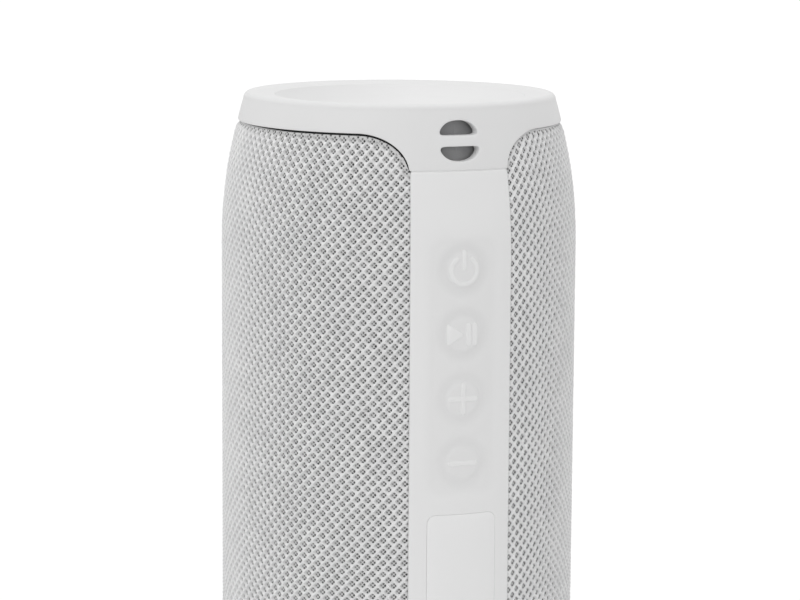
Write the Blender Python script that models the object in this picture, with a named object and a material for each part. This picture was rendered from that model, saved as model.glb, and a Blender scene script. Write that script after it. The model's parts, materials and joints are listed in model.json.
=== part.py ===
"""Portable cylindrical bluetooth speaker: an assembly of separate pieces.

Frame: metres, +Z up, origin at the centre of the plane the speaker stands on,
the control strip faces -Y, so left is -X.  Lengths below are millimetres.
"""

import math

import bmesh
import bpy
from mathutils import Matrix, Vector

MILLIMETRE = 0.001
SHARP_ANGLE = math.radians(32.0)

# ---- body (mm) ---------------------------------------------------------------
BODY_RADIUS = 36.0       # straight part of the body
HEIGHT = 175.0           # crest of the bottom cap to crest of the top cap
MID_Z = HEIGHT / 2
CREST = 0.9              # crest of a cap above the edge of its recess
EDGE_Z = HEIGHT - CREST  # height of the top recess edge
RECESS_RADIUS = 25.74    # edge of the recess in each end
TAPER_LEN = 30.0         # the body narrows over this length towards each end
TAPER_START = EDGE_Z - TAPER_LEN
TAPER_DROP = 3.25
TAPER_SPAN = 24.7
TAPER_POWER = 2.08
GAP = 0.3                # between neighbouring outer pieces

# ---- end caps: heights are depths below the recess edge, angles in degrees ---
LIP = 5.25               # lower edge of a cap
TAB_END = 12.2           # lower end of a cap's tab
TAB_HALF = 17.3          # half angle of the tab
FILLET_HALF = 35.0       # where the fillet of the tab starts
FILLET_DROP = 7.4
CAP_WALL = 2.0
SHOULDER_RADIUS, SHOULDER_DOWN = 32.2, 2.9
SHOULDER_SLOPE = 0.24    # the wall widens by this per mm of depth below the shoulder
SHOULDER_END = 5.0       # deeper than this the wall follows the body
SLOT_CENTRE = 6.45
SLOT_HALF_WIDTH, SLOT_HALF_HEIGHT = 3.8, 3.94
BAR_TOP, BAR_BOTTOM = 5.26, 7.63

# ---- sleeve, strip and housing -----------------------------------------------
SLEEVE_HALF = 17.35      # the sleeve's edge beside the strip (deg)
SLEEVE_WALL = 1.8
SLEEVE_GAP = 0.35        # between the lip of a cap and the sleeve
SLEEVE_BEND = 21.0       # the sleeve's middle station lies halfway from its edge to this depth
STRIP_HALF = 16.85       # half angle of the control strip (deg)
STRIP_WALL = 2.2
STRIP_TOP = EDGE_Z - TAB_END - GAP

HOUSING_INSET = 2.6      # housing's outer face below the body's surface
HOUSING_WALL = 2.0
HOUSING_TOP = 171.3
SPLIT_Y = 0.15           # each half of the housing ends this far from y = 0
SPLIT_ANGLE = math.degrees(SPLIT_Y / 33.0)
TRAY_FLOOR = -24.0       # y of the floor of the board's tray
BAFFLE_Y = 22.0
BAFFLE_BACK = BAFFLE_Y - 2.0
BAFFLE_Z0, BAFFLE_Z1 = 20.0, 155.0
SHELF_WALL = 1.8

# ---- buttons and flap --------------------------------------------------------
BUTTON_Z = {"power": 142.95, "play": 130.3, "volume_up": 117.6, "volume_down": 104.9}
BUTTON_RADIUS = 5.6
BUTTON_HOLE_RADIUS = BUTTON_RADIUS + GAP
BUTTON_FACE = -35.15     # y of the middle of a button's dished face
ICON_RISE, ICON_ROOT = 0.45, 0.6
FLAP_HALF = 7.0
FLAP_TOP = 94.85
FLAP_OUT = 36.1
PIVOT_Y, PIVOT_Z = -34.2, 52.2
FLAP_END_RADIUS = 1.9

# ---- inner parts -------------------------------------------------------------
BOARD_HALF = 8.3
BOARD_Z0, BOARD_Z1 = 28.0, 157.5
BOARD_BACK, BOARD_FRONT = -26.5, -28.1
MOUNT_FRONT = BOARD_FRONT - 0.2   # foot of the parts on the board's front
MOUNT_BACK = BOARD_BACK + 0.3     # foot of the parts on its back
BOARD_SCREW_Z = {"upper": 153.5, "lower": 31.0}
USB_Z, AUX_Z, LED_Z = 86.3, 73.5, 43.0
MIC_Z, MIC_HOLE_Z = 36.8, 36.0

BATTERY_RADIUS, BATTERY_LENGTH, BATTERY_Y = 9.2, 65.0, -11.6
BATTERY_Z0, BATTERY_Z1 = MID_Z - BATTERY_LENGTH / 2, MID_Z + BATTERY_LENGTH / 2
DRIVER_Z = {"upper": 120.0, "lower": 55.0}
SCREW_X = 20.0
HOUSING_SCREWS = {       # name ending: (x, z)
    f"{level}_{side}": (x, z)
    for side, x in (("left", -SCREW_X), ("right", SCREW_X))
    for level, z in (("upper", 149.5), ("lower", 25.5))
}
LEAD_X = 6.3
BATTERY_LEAD_Z = 128.0
SPEAKER_LEAD_Z = {"upper": 134.0, "lower": 46.0}

# ---- looks: (base colour, roughness, metallic) -------------------------------
SHELL_WHITE = ((0.72, 0.72, 0.73), 0.55, 0.0)
SOFT_WHITE = ((0.68, 0.68, 0.69), 0.62, 0.0)
CLOTH = ((0.70, 0.70, 0.71), 0.85, 0.0)
BLACK_PLASTIC = ((0.03, 0.03, 0.032), 0.5, 0.0)
INNER_GREY = ((0.30, 0.30, 0.31), 0.55, 0.0)
DARK_RUBBER = ((0.02, 0.02, 0.02), 0.8, 0.0)
STEEL = ((0.6, 0.6, 0.62), 0.3, 1.0)
BOARD_GREEN = ((0.02, 0.13, 0.06), 0.5, 0.0)
CHIP_BLACK = ((0.015, 0.015, 0.016), 0.45, 0.0)
CELL_BLUE = ((0.05, 0.17, 0.4), 0.35, 0.0)
MAGNET_GREY = ((0.12, 0.12, 0.13), 0.6, 0.0)
CONE_GREY = ((0.05, 0.05, 0.055), 0.7, 0.0)
COPPER = ((0.72, 0.33, 0.15), 0.35, 1.0)
LENS = ((0.85, 0.9, 0.95), 0.2, 0.0)
WIRE_RED = ((0.5, 0.03, 0.02), 0.5, 0.0)


def material(name, colour, roughness, metallic):
    mat = bpy.data.materials.new(name)
    mat.use_nodes = True
    shader = mat.node_tree.nodes["Principled BSDF"]
    shader.inputs["Base Color"].default_value = (*colour, 1.0)
    shader.inputs["Roughness"].default_value = roughness
    shader.inputs["Metallic"].default_value = metallic
    mat.diffuse_color = (*colour, 1.0)
    return mat


# ---- points and outlines -----------------------------------------------------
def spread(start, span, steps):
    """Evenly spaced values from start to start + span, both included."""
    return [start + span * i / steps for i in range(steps + 1)]


def mirrored(heights):
    """Heights in the upper half, followed by their mirror images in the lower half."""
    return heights + [HEIGHT - z for z in reversed(heights)]


def body_radius(z):
    """Outer radius of the body at height z."""
    down = min(z, HEIGHT - z) - CREST
    taper = max(0.0, TAPER_LEN - down) / TAPER_SPAN
    return BODY_RADIUS - TAPER_DROP * taper ** TAPER_POWER


def section(angle, points, centre_y=0.0):
    """Points (radius, z) at an angle (deg) from the strip's middle, turning towards +X."""
    a = math.radians(angle)
    return [Vector((r * math.sin(a), centre_y - r * math.cos(a), z)) for r, z in points]


def wall_section(angle, heights, wall):
    """Section of a wall whose outer face is the body's surface."""
    outer = [(body_radius(z), z) for z in heights]
    inner = [(body_radius(z) - wall, z) for z in reversed(heights)]
    return section(angle, outer + inner)


def rounded(x0, x1, z0, z1, radius, steps=4):
    """Rounded rectangle outline."""
    corners = (
        (x1 - radius, z1 - radius, 0), (x0 + radius, z1 - radius, 90),
        (x0 + radius, z0 + radius, 180), (x1 - radius, z0 + radius, 270),
    )
    return [
        (x + radius * math.cos(math.radians(a)), z + radius * math.sin(math.radians(a)))
        for x, z, start in corners for a in spread(start, 90, steps)
    ]


def circle(z, radius, steps):
    """Circle outline centred on x = 0."""
    turns = [2 * math.pi * i / steps for i in range(steps)]
    return [(radius * math.cos(a), z + radius * math.sin(a)) for a in turns]


def chord(y, radius):
    """Outline in (x, y) of the part of a disc beyond a line of constant y."""
    half = math.acos(y / radius)
    return [(radius * math.sin(a), radius * math.cos(a)) for a in spread(-half, 2 * half, 8)]


# ---- solids ------------------------------------------------------------------
def loft(sections, loop=False):
    """Closed skin through equal closed sections; ends are capped unless the path is a loop."""
    shape = bmesh.new()
    rings = [[shape.verts.new(p) for p in points] for points in sections]
    count = len(rings[0])
    last = len(rings) if loop else len(rings) - 1
    for i in range(last):
        a, b = rings[i], rings[(i + 1) % len(rings)]
        for j in range(count):
            k = (j + 1) % count
            shape.faces.new((a[j], a[k], b[k], b[j]))
    if not loop:
        shape.faces.new(rings[0])
        shape.faces.new(rings[-1])
    return shape


def lathe(profile, segments, turn=Matrix.Identity(4)):
    """Profile [(radius, along)] turned about Z; an end on the axis becomes a pole."""
    shape = bmesh.new()
    turns = [2 * math.pi * i / segments for i in range(segments)]
    rings = []
    for r, z in profile:
        if r == 0.0:
            rings.append([shape.verts.new((0.0, 0.0, z))])
        else:
            rings.append([shape.verts.new((r * math.cos(a), r * math.sin(a), z)) for a in turns])
    pairs = list(zip(rings, rings[1:]))
    if profile[0][0] != 0.0 or profile[-1][0] != 0.0:
        pairs.append((rings[-1], rings[0]))
    for a, b in pairs:
        for i in range(segments):
            k = (i + 1) % segments
            if len(a) == 1:
                shape.faces.new((a[0], b[i], b[k]))
            elif len(b) == 1:
                shape.faces.new((a[i], a[k], b[0]))
            else:
                shape.faces.new((a[i], a[k], b[k], b[i]))
    bmesh.ops.transform(shape, matrix=turn, verts=shape.verts)
    return shape


def turned_y(profile, segments, x, z):
    """Profile [(radius, y)] turned about a line along Y through (x, z)."""
    along_y = Matrix.Rotation(math.radians(-90), 4, "X")   # +Z becomes +Y
    return lathe(profile, segments, Matrix.Translation((x, 0, z)) @ along_y)


def rod_y(radius, y0, y1, x, z, segments):
    return turned_y([(0.0, y0), (radius, y0), (radius, y1), (0.0, y1)], segments, x, z)


def hinge_rod(radius, half):
    """Rod along X on the flap's pivot."""
    along_x = Matrix.Rotation(math.radians(90), 4, "Y")
    return lathe([(0.0, -half), (radius, -half), (radius, half), (0.0, half)], 12,
                 Matrix.Translation((0, PIVOT_Y, PIVOT_Z)) @ along_x)


def prism(outline, axis, low, high):
    """Outline extruded along an axis: pairs are (x, z) for Y, (x, y) for Z, (y, z) for X."""
    shape = bmesh.new()

    def at(u, v, w):
        return {"X": (w, u, v), "Y": (u, w, v), "Z": (u, v, w)}[axis]

    a = [shape.verts.new(at(u, v, low)) for u, v in outline]
    b = [shape.verts.new(at(u, v, high)) for u, v in outline]
    shape.faces.new(a)
    shape.faces.new(b)
    for i in range(len(a)):
        k = (i + 1) % len(a)
        shape.faces.new((a[i], a[k], b[k], b[i]))
    return shape


def front_punch(outline, y1=-30.0):
    """Prism along Y that reaches through the front of the body."""
    return prism(outline, "Y", -40.0, y1)


def block(half, y0, y1, z0, z1):
    """Box centred on x = 0."""
    return prism([(-half, z0), (half, z0), (half, z1), (-half, z1)], "Y", y0, y1)


def flip_z(shape):
    """Turns a shape for the top end into its mirror image for the bottom end."""
    flip = Matrix.Translation((0, 0, HEIGHT)) @ Matrix.Diagonal((1, 1, -1, 1))
    bmesh.ops.transform(shape, matrix=flip, verts=shape.verts)
    return shape


def merge(*shapes):
    """Several separate closed shapes in one mesh, for a tool."""
    whole = shapes[0]
    for other in shapes[1:]:
        copies = {v: whole.verts.new(v.co) for v in other.verts}
        for face in other.faces:
            whole.faces.new([copies[v] for v in face.verts])
        other.free()
    return whole


# ---- objects -----------------------------------------------------------------
def place(name, shape, look, origin=(0.0, 0.0, 0.0)):
    """Makes the object: shape in mm about the world origin, its own origin at `origin`."""
    bmesh.ops.recalc_face_normals(shape, faces=shape.faces)
    shift = Matrix.Translation(-Vector(origin))
    bmesh.ops.transform(shape, matrix=Matrix.Scale(MILLIMETRE, 4) @ shift, verts=shape.verts)
    mesh = bpy.data.meshes.new(name)
    shape.to_mesh(mesh)
    shape.free()
    obj = bpy.data.objects.new(name, mesh)
    obj.location = Vector(origin) * MILLIMETRE
    bpy.context.scene.collection.objects.link(obj)
    mesh.shade_smooth()
    mesh.set_sharp_from_angle(angle=SHARP_ANGLE)
    if look is not None:
        mesh.materials.append(material(name, *look))
    return obj


def boolean(obj, operation, shape, self_cross=False):
    """Cuts, joins or intersects with a hidden helper shape."""
    count = len(obj.modifiers)
    tool = place(f"{obj.name}_tool{count}", shape, None)
    tool.hide_render = True
    tool.display_type = "WIRE"
    mod = obj.modifiers.new(f"{operation.lower()}{count}", "BOOLEAN")
    mod.operation = operation
    mod.object = tool
    mod.solver = "EXACT"
    mod.use_self = self_cross


for old in list(bpy.data.objects):
    bpy.data.objects.remove(old, do_unlink=True)

# ---- end caps ----------------------------------------------------------------
# Stations (deg) from beside the tab to the middle of the back, shared with the sleeve
SIDE_ANGLES = [17.8, 18.9, 20.6, 23.2, 27.5, FILLET_HALF]
SIDE_ANGLES += spread(FILLET_HALF, 180.0 - FILLET_HALF, 12)[1:]


def lip_at(angle):
    """Depth of the cap's lower edge at an angle from the strip's middle."""
    off = abs((angle + 180.0) % 360.0 - 180.0)
    if off <= TAB_HALF:
        return TAB_END
    if off >= FILLET_HALF:
        return LIP
    part = (FILLET_HALF - off) / (FILLET_HALF - TAB_HALF)
    return min(TAB_END, LIP + FILLET_DROP * (1.0 - math.sqrt(1.0 - part * part)))


def cap_wall_radius(down):
    if down > SHOULDER_END:
        return body_radius(EDGE_Z - down)
    return SHOULDER_RADIUS + (down - SHOULDER_DOWN) * SHOULDER_SLOPE


def cap_section(angle):
    """Crest, outer wall to the lip, inner wall back up, wall of the recess."""
    # (radius, height above the recess edge)
    crown = [
        (RECESS_RADIUS, 0.0), (27.7, CREST), (29.1, CREST),
        (30.6, 0.35), (31.4, -0.6), (SHOULDER_RADIUS, -SHOULDER_DOWN),
    ]
    downs = spread(SHOULDER_DOWN, lip_at(angle) - SHOULDER_DOWN, 2)[1:]
    outer = [(cap_wall_radius(down), -down) for down in downs]
    inner = [(r - CAP_WALL, rise) for r, rise in reversed(outer)]
    inside = [(29.8, -1.9), (27.3, -1.9), (26.5, -4.0), (25.0, -4.0)]
    points = crown + outer + inner + inside
    return section(angle, [(r, EDGE_Z + rise) for r, rise in points])


def cap_blank():
    half = [0.0, 8.0, TAB_HALF] + SIDE_ANGLES
    angles = [-a for a in reversed(half[1:-1])] + half
    return loft([cap_section(a) for a in angles], loop=True)


def slot_outline(upper):
    """One of the two openings that leave a bar between them: an ellipse cut by a flat side."""
    centre = EDGE_Z - SLOT_CENTRE
    edge = EDGE_Z - (BAR_TOP if upper else BAR_BOTTOM)
    start = math.asin((edge - centre) / SLOT_HALF_HEIGHT)
    if upper:
        angles = spread(start, math.pi - 2 * start, 12)
    else:
        angles = spread(math.pi - start, math.pi + 2 * start, 12)
    return [(SLOT_HALF_WIDTH * math.cos(a), centre + SLOT_HALF_HEIGHT * math.sin(a))
            for a in angles]


top_cap = place("top_cap", cap_blank(), SHELL_WHITE)
boolean(top_cap, "DIFFERENCE",
        merge(*[front_punch(slot_outline(upper), y1=-27.0) for upper in (True, False)]))
place("bottom_cap", flip_z(cap_blank()), SHELL_WHITE)


# ---- fabric sleeve: open tube with its edges beside the strip ----------------
def sleeve_section(angle):
    edge = lip_at(angle) + SLEEVE_GAP
    downs = [edge, 0.5 * (edge + SLEEVE_BEND), TAPER_LEN]
    return wall_section(angle, mirrored([EDGE_Z - down for down in downs]), SLEEVE_WALL)


half_round = [SLEEVE_HALF] + SIDE_ANGLES
full_round = half_round + [360.0 - a for a in reversed(half_round[:-1])]
place("fabric_sleeve", loft([sleeve_section(a) for a in full_round]), CLOTH)

# ---- control strip -----------------------------------------------------------
strip_heights = mirrored([STRIP_TOP, 156.0, 150.5, TAPER_START])
strip = place("control_strip", loft([
    wall_section(a, strip_heights, STRIP_WALL) for a in spread(-STRIP_HALF, 2 * STRIP_HALF, 6)
]), SOFT_WHITE)
flap_window = rounded(-FLAP_HALF - GAP, FLAP_HALF + GAP, PIVOT_Z - 2.2, FLAP_TOP + GAP, 1.9)
boolean(strip, "DIFFERENCE", merge(
    *[front_punch(circle(z, BUTTON_HOLE_RADIUS, 18)) for z in BUTTON_Z.values()],
    front_punch(flap_window),
    front_punch(circle(LED_Z, 0.7, 12)),
    front_punch(circle(MIC_HOLE_Z, 0.6, 12)),
))
boolean(strip, "DIFFERENCE", hinge_rod(0.75, 8.9))

# ---- buttons and their switches ----------------------------------------------
BUTTON_FLANGE = (6.17, -32.8, -32.2)   # radius, front y, back y
BUTTON_STEM = (1.6, -31.7)             # radius, back y


def button_blank(z):
    flange_radius, flange_front, flange_back = BUTTON_FLANGE
    stem_radius, stem_back = BUTTON_STEM
    return turned_y([
        (0.0, BUTTON_FACE), (3.8, BUTTON_FACE - 0.06), (BUTTON_RADIUS, BUTTON_FACE - 0.3),
        (BUTTON_RADIUS, flange_front), (flange_radius, flange_front),
        (flange_radius, flange_back), (stem_radius, flange_back),
        (stem_radius, stem_back), (0.0, stem_back),
    ], 18, 0.0, z)


def open_ring(z, outer, inner, gap_half):
    """Open ring with its gap (half angle, deg) at the top."""
    start, end = math.radians(90 + gap_half), math.radians(450 - gap_half)
    arc = spread(start, end - start, 12)
    return ([(outer * math.cos(a), z + outer * math.sin(a)) for a in arc]
            + [(inner * math.cos(a), z + inner * math.sin(a)) for a in reversed(arc)])


def bar(x0, x1, z0, z1):
    return rounded(x0, x1, z0, z1, min(x1 - x0, z1 - z0) * 0.45, 1)


def plus_sign(arm, stroke):
    """Cross from the length of an arm and half the width of its stroke."""
    return [
        (-arm, -stroke), (-stroke, -stroke), (-stroke, -arm), (stroke, -arm),
        (stroke, -stroke), (arm, -stroke), (arm, stroke), (stroke, stroke),
        (stroke, arm), (-stroke, arm), (-stroke, stroke), (-arm, stroke),
    ]


# Icon outlines (x, z) about the middle of each button
ICONS = {
    "power": [open_ring(-0.2, 3.07, 2.26, 33.0), bar(-0.4, 0.4, -0.1, 3.75)],
    "play": [[(-3.1, -2.05), (0.1, 0.0), (-3.1, 2.05)],
             bar(0.75, 1.5, -2.2, 2.2), bar(2.35, 3.1, -2.2, 2.2)],
    "volume_up": [plus_sign(3.07, 0.42)],
    "volume_down": [bar(-3.05, 3.05, -0.42, 0.42)],
}
SWITCH_HALF = 3.0
PLUNGER_FRONT = -31.5

for name, z in BUTTON_Z.items():
    button = place(f"{name}_button", button_blank(z), SOFT_WHITE, origin=(0.0, BUTTON_FACE, z))
    boolean(button, "UNION", merge(*[
        prism([(x, z + rise) for x, rise in outline], "Y",
              BUTTON_FACE - ICON_RISE, BUTTON_FACE + ICON_ROOT)
        for outline in ICONS[name]
    ]))
    # switch under the button: its body on the board, its plunger in the body's bore
    body = block(SWITCH_HALF, -30.9, MOUNT_FRONT, z - SWITCH_HALF, z + SWITCH_HALF)
    switch = place(f"{name}_switch", body, BLACK_PLASTIC)
    boolean(switch, "DIFFERENCE", rod_y(1.8, -32.0, -29.4, 0.0, z, 16))
    place(f"{name}_switch_plunger", rod_y(1.5, PLUNGER_FRONT, -30.2, 0.0, z, 16),
          DARK_RUBBER, origin=(0.0, PLUNGER_FRONT, z))

# ---- port flap and its hinge pin ---------------------------------------------
FLAP_INNER = -33.9       # y of the flap's inner face
PLUG_Y = (-34.5, -33.0)  # the two raised pads on the inner face
# Side view (y, z): round lower end, hinge knuckle, inner face, outer face
flap_side = [
    (PIVOT_Y + FLAP_END_RADIUS * math.cos(math.radians(a)),
     PIVOT_Z + FLAP_END_RADIUS * math.sin(math.radians(a))) for a in spread(180, 150, 8)
] + [
    (-33.0, PIVOT_Z), (-33.0, PIVOT_Z + 1.2), (FLAP_INNER, PIVOT_Z + 2.4),
    (FLAP_INNER, FLAP_TOP), (-FLAP_OUT, FLAP_TOP), (-FLAP_OUT, PIVOT_Z),
]
flap = place("port_flap", prism(flap_side, "X", -FLAP_HALF, FLAP_HALF), SOFT_WHITE,
             origin=(0.0, PIVOT_Y, PIVOT_Z))
boolean(flap, "INTERSECT", front_punch(
    rounded(-FLAP_HALF, FLAP_HALF, PIVOT_Z - FLAP_END_RADIUS, FLAP_TOP, 1.7)))
boolean(flap, "INTERSECT",
        lathe([(0.0, 40.0), (FLAP_OUT, 40.0), (FLAP_OUT, 100.0), (0.0, 100.0)], 96))
boolean(flap, "DIFFERENCE", hinge_rod(0.7, 9.0))
boolean(flap, "UNION", merge(
    prism(rounded(-3.9, 3.9, USB_Z - 1.3, USB_Z + 1.3, 1.2, 3), "Y", *PLUG_Y),
    prism(circle(AUX_Z, 1.6, 16), "Y", *PLUG_Y),
))
place("flap_hinge_pin", hinge_rod(0.5, 8.6), STEEL)


# ---- inner housing, two halves -----------------------------------------------
def housing_section(angle):
    heights = mirrored([HOUSING_TOP, 166.5, 157.0, TAPER_START])
    outer = [(body_radius(z) - HOUSING_INSET, z) for z in heights[1:-1]]
    outer = [(29.4, heights[0])] + outer + [(29.4, heights[-1])]
    wall = HOUSING_INSET + HOUSING_WALL
    rim = body_radius(166.0) - wall
    neck = body_radius(12.0) - wall
    tube = body_radius(22.0) - wall
    low_end = [(28.0, HEIGHT - HOUSING_TOP), (rim, 10.0), (24.8, 10.0), (24.8, 12.0)]
    inner = [(neck, 12.0), (tube, 24.0), (tube, HEIGHT - 24.0), (neck, HEIGHT - 12.0)]
    high_end = [(r, HEIGHT - z) for r, z in reversed(low_end[1:])] + [(28.0, HOUSING_TOP)]
    return section(angle, outer + low_end + inner + high_end)


def housing_half(name, start):
    """Half of the housing, from an angle (deg) and turning half a round."""
    angles = spread(start + SPLIT_ANGLE, 180.0 - 2 * SPLIT_ANGLE, 12)
    return place(name, loft([housing_section(a) for a in angles]), INNER_GREY)


# front half: tray for the board, posts for the housing screws and board screws
front = housing_half("front_housing", -90.0)
boolean(front, "UNION", block(10.0, -28.3, TRAY_FLOOR + 1.1, 26.0, 160.0))
for x, z in HOUSING_SCREWS.values():
    boolean(front, "UNION", rod_y(3.2, -22.4, -SPLIT_Y, x, z, 12))
boolean(front, "DIFFERENCE", block(8.8, -40.0, TRAY_FLOOR, 27.2, 158.8))
for z in BOARD_SCREW_Z.values():
    boolean(front, "UNION", rod_y(2.2, -26.3, TRAY_FLOOR + 0.5, 0.0, z, 12))
lead_holes = [(LEAD_X, BATTERY_LEAD_Z)] + [(-LEAD_X, z) for z in SPEAKER_LEAD_Z.values()]
boolean(front, "DIFFERENCE", merge(
    *[rod_y(1.8, -12.0, 2.0, x, z, 10) for x, z in HOUSING_SCREWS.values()],
    *[rod_y(1.2, -30.0, -24.2, 0.0, z, 10) for z in BOARD_SCREW_Z.values()],
    *[rod_y(1.3, -30.0, -20.0, x, z, 8) for x, z in lead_holes],
))

# rear half: flat baffle for the drivers, a shelf above and below it, screw posts
rear = housing_half("rear_housing", 90.0)
boolean(rear, "UNION",
        block(23.7, BAFFLE_BACK, BAFFLE_Y + 0.3, BAFFLE_Z0 - 1.0, BAFFLE_Z1 + 1.0))
shelf = chord(BAFFLE_BACK, 32.0)
boolean(rear, "UNION", merge(
    prism(shelf, "Z", BAFFLE_Z1, BAFFLE_Z1 + SHELF_WALL),
    prism(shelf, "Z", BAFFLE_Z0 - SHELF_WALL, BAFFLE_Z0),
), self_cross=True)
boolean(rear, "DIFFERENCE", prism(chord(BAFFLE_Y, 42.0), "Z", BAFFLE_Z0, BAFFLE_Z1))
for x, z in HOUSING_SCREWS.values():
    boolean(rear, "UNION", rod_y(4.2, SPLIT_Y, BAFFLE_Y - 1.0, x, z, 12))
# (radius, y): bore for the shank, wider for the head
SCREW_BORE = [
    (0.0, -2.0), (1.8, -2.0), (1.8, BAFFLE_Y - 1.9),
    (3.1, BAFFLE_Y - 1.9), (3.1, 26.0), (0.0, 26.0),
]
boolean(rear, "DIFFERENCE", merge(
    *[rod_y(17.8, 15.0, 30.0, 0.0, z, 24) for z in DRIVER_Z.values()],
    *[turned_y(SCREW_BORE, 12, x, z) for x, z in HOUSING_SCREWS.values()],
))

# (radius, y): tip, shank, head and the socket in the head
HOUSING_SCREW = [
    (0.0, -9.8), (1.2, -9.8), (1.5, -9.2), (1.5, BAFFLE_Y - 1.6), (2.8, BAFFLE_Y - 1.6),
    (2.6, BAFFLE_Y - 0.3), (1.1, BAFFLE_Y - 0.2), (0.9, BAFFLE_Y - 1.0), (0.0, BAFFLE_Y - 1.0),
]
for ending, (x, z) in HOUSING_SCREWS.items():
    place(f"housing_screw_{ending}", turned_y(HOUSING_SCREW, 10, x, z), STEEL)

# ---- perforated grille that carries the fabric over the drivers --------------
GRILLE_SECTION = [(33.3, 24.5), (33.3, 150.5), (32.0, 150.5), (32.0, 24.5)]  # (radius, z)
GRILLE_HALF = 46.0       # half angle (deg) about the middle of the back
GRILLE_PITCH = 6.6
GRILLE_SLOTS = ((-2, 11.0), (-1, 15.5), (0, 15.5), (1, 15.5), (2, 11.0))  # (row, half width)
GRILLE_SLOT_HALF = 1.9   # half height of a slot

grille = place("driver_grille", loft([
    section(a, GRILLE_SECTION) for a in spread(180.0 - GRILLE_HALF, 2 * GRILLE_HALF, 10)
]), BLACK_PLASTIC)
slots = []
for driver_z in DRIVER_Z.values():
    for row, reach in GRILLE_SLOTS:
        z = driver_z + row * GRILLE_PITCH
        outline = rounded(-reach, reach, z - GRILLE_SLOT_HALF, z + GRILLE_SLOT_HALF, 1.8, 1)
        slots.append(prism(outline, "Y", 20.0, 40.0))
boolean(grille, "DIFFERENCE", merge(*slots))

# ---- board and its screws ----------------------------------------------------
board = place("main_board", prism(
    rounded(-BOARD_HALF, BOARD_HALF, BOARD_Z0, BOARD_Z1, 1.0, 3),
    "Y", BOARD_FRONT, BOARD_BACK), BOARD_GREEN)
boolean(board, "DIFFERENCE",
        merge(*[rod_y(1.3, -30.0, -25.0, 0.0, z, 14) for z in BOARD_SCREW_Z.values()]))
# (radius, y): socket, head, shank
BOARD_SCREW = [
    (0.0, -29.0), (0.8, -29.0), (0.9, -29.6), (1.5, -29.6), (2.0, -29.1),
    (2.0, -28.3), (0.95, -28.3), (0.95, -24.6), (0.0, -24.6),
]
for level, z in BOARD_SCREW_Z.items():
    place(f"board_screw_{level}", turned_y(BOARD_SCREW, 10, 0.0, z), STEEL)


# ---- sockets behind the flap -------------------------------------------------
def usb_outline(half_width, half_height, radius):
    return rounded(-half_width, half_width, USB_Z - half_height, USB_Z + half_height, radius, 3)


usb = place("usb_c_port", prism(usb_outline(4.5, 1.6, 1.55), "Y", -32.6, MOUNT_FRONT), STEEL)
boolean(usb, "DIFFERENCE", prism(usb_outline(4.15, 1.25, 1.2), "Y", -34.0, -29.0))
boolean(usb, "UNION", block(3.3, -32.0, -28.6, USB_Z - 0.35, USB_Z + 0.35))   # tongue

aux = place("aux_jack", block(3.2, -31.6, MOUNT_FRONT, AUX_Z - 3.2, AUX_Z + 3.2), BLACK_PLASTIC)
boolean(aux, "UNION", rod_y(2.8, -32.6, -31.0, 0.0, AUX_Z, 16))
boolean(aux, "DIFFERENCE", rod_y(1.8, -34.0, -28.9, 0.0, AUX_Z, 14))

card = place("card_slot", block(6.0, -32.4, MOUNT_FRONT, 60.6, 63.0), STEEL)
boolean(card, "DIFFERENCE", block(5.6, -34.0, -29.0, 61.3, 62.3))

# ---- other parts on the board ------------------------------------------------
place("bluetooth_module", block(6.2, MOUNT_BACK, -24.3, 104.0, 121.0), STEEL)
place("amplifier_chip", block(3.5, MOUNT_BACK, -25.2, 86.0, 93.0), CHIP_BLACK)
# Profiles are (radius, y)
CAPACITOR = [(0.0, -30.9), (1.6, -30.9), (1.9, -30.6), (1.9, MOUNT_FRONT), (0.0, MOUNT_FRONT)]
STATUS_LED = [
    (0.0, -32.9), (0.35, -32.8), (0.55, -32.4), (0.55, -31.6),
    (1.2, -31.6), (1.2, MOUNT_FRONT), (0.0, MOUNT_FRONT),
]
for side, x in (("left", -3.0), ("right", 3.0)):
    place(f"capacitor_{side}", turned_y(CAPACITOR, 12, x, 98.3), MAGNET_GREY)
place("status_led", turned_y(STATUS_LED, 10, 0.0, LED_Z), LENS)
place("microphone", rod_y(1.9, -30.4, MOUNT_FRONT, 0.0, MIC_Z, 16), STEEL)

# ---- battery and its bracket -------------------------------------------------
CELL = [                 # (radius, z)
    (0.0, BATTERY_Z0), (BATTERY_RADIUS - 0.5, BATTERY_Z0), (BATTERY_RADIUS, BATTERY_Z0 + 0.5),
    (BATTERY_RADIUS, BATTERY_Z1 - 1.5), (BATTERY_RADIUS - 0.5, BATTERY_Z1 - 1.0),
    (3.0, BATTERY_Z1 - 1.0), (2.8, BATTERY_Z1), (0.0, BATTERY_Z1),
]
place("battery_cell", lathe(CELL, 20, Matrix.Translation((0, BATTERY_Y, 0))), CELL_BLUE)

inner, outer = BATTERY_RADIUS + 0.3, BATTERY_RADIUS + 1.6
bracket_wall = [(inner, 60.0), (inner, 115.0), (outer, 115.0), (outer, 60.0)]
bracket = place("battery_bracket", loft([
    section(a, bracket_wall, centre_y=BATTERY_Y) for a in spread(-125.0, 250.0, 14)
]), BLACK_PLASTIC)
boolean(bracket, "DIFFERENCE", merge(*[
    prism(rounded(-6.0, 6.0, z, z + 14.0, 2.0, 3), "Y", -26.0, -18.0) for z in (68.0, 93.0)
]))

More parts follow.
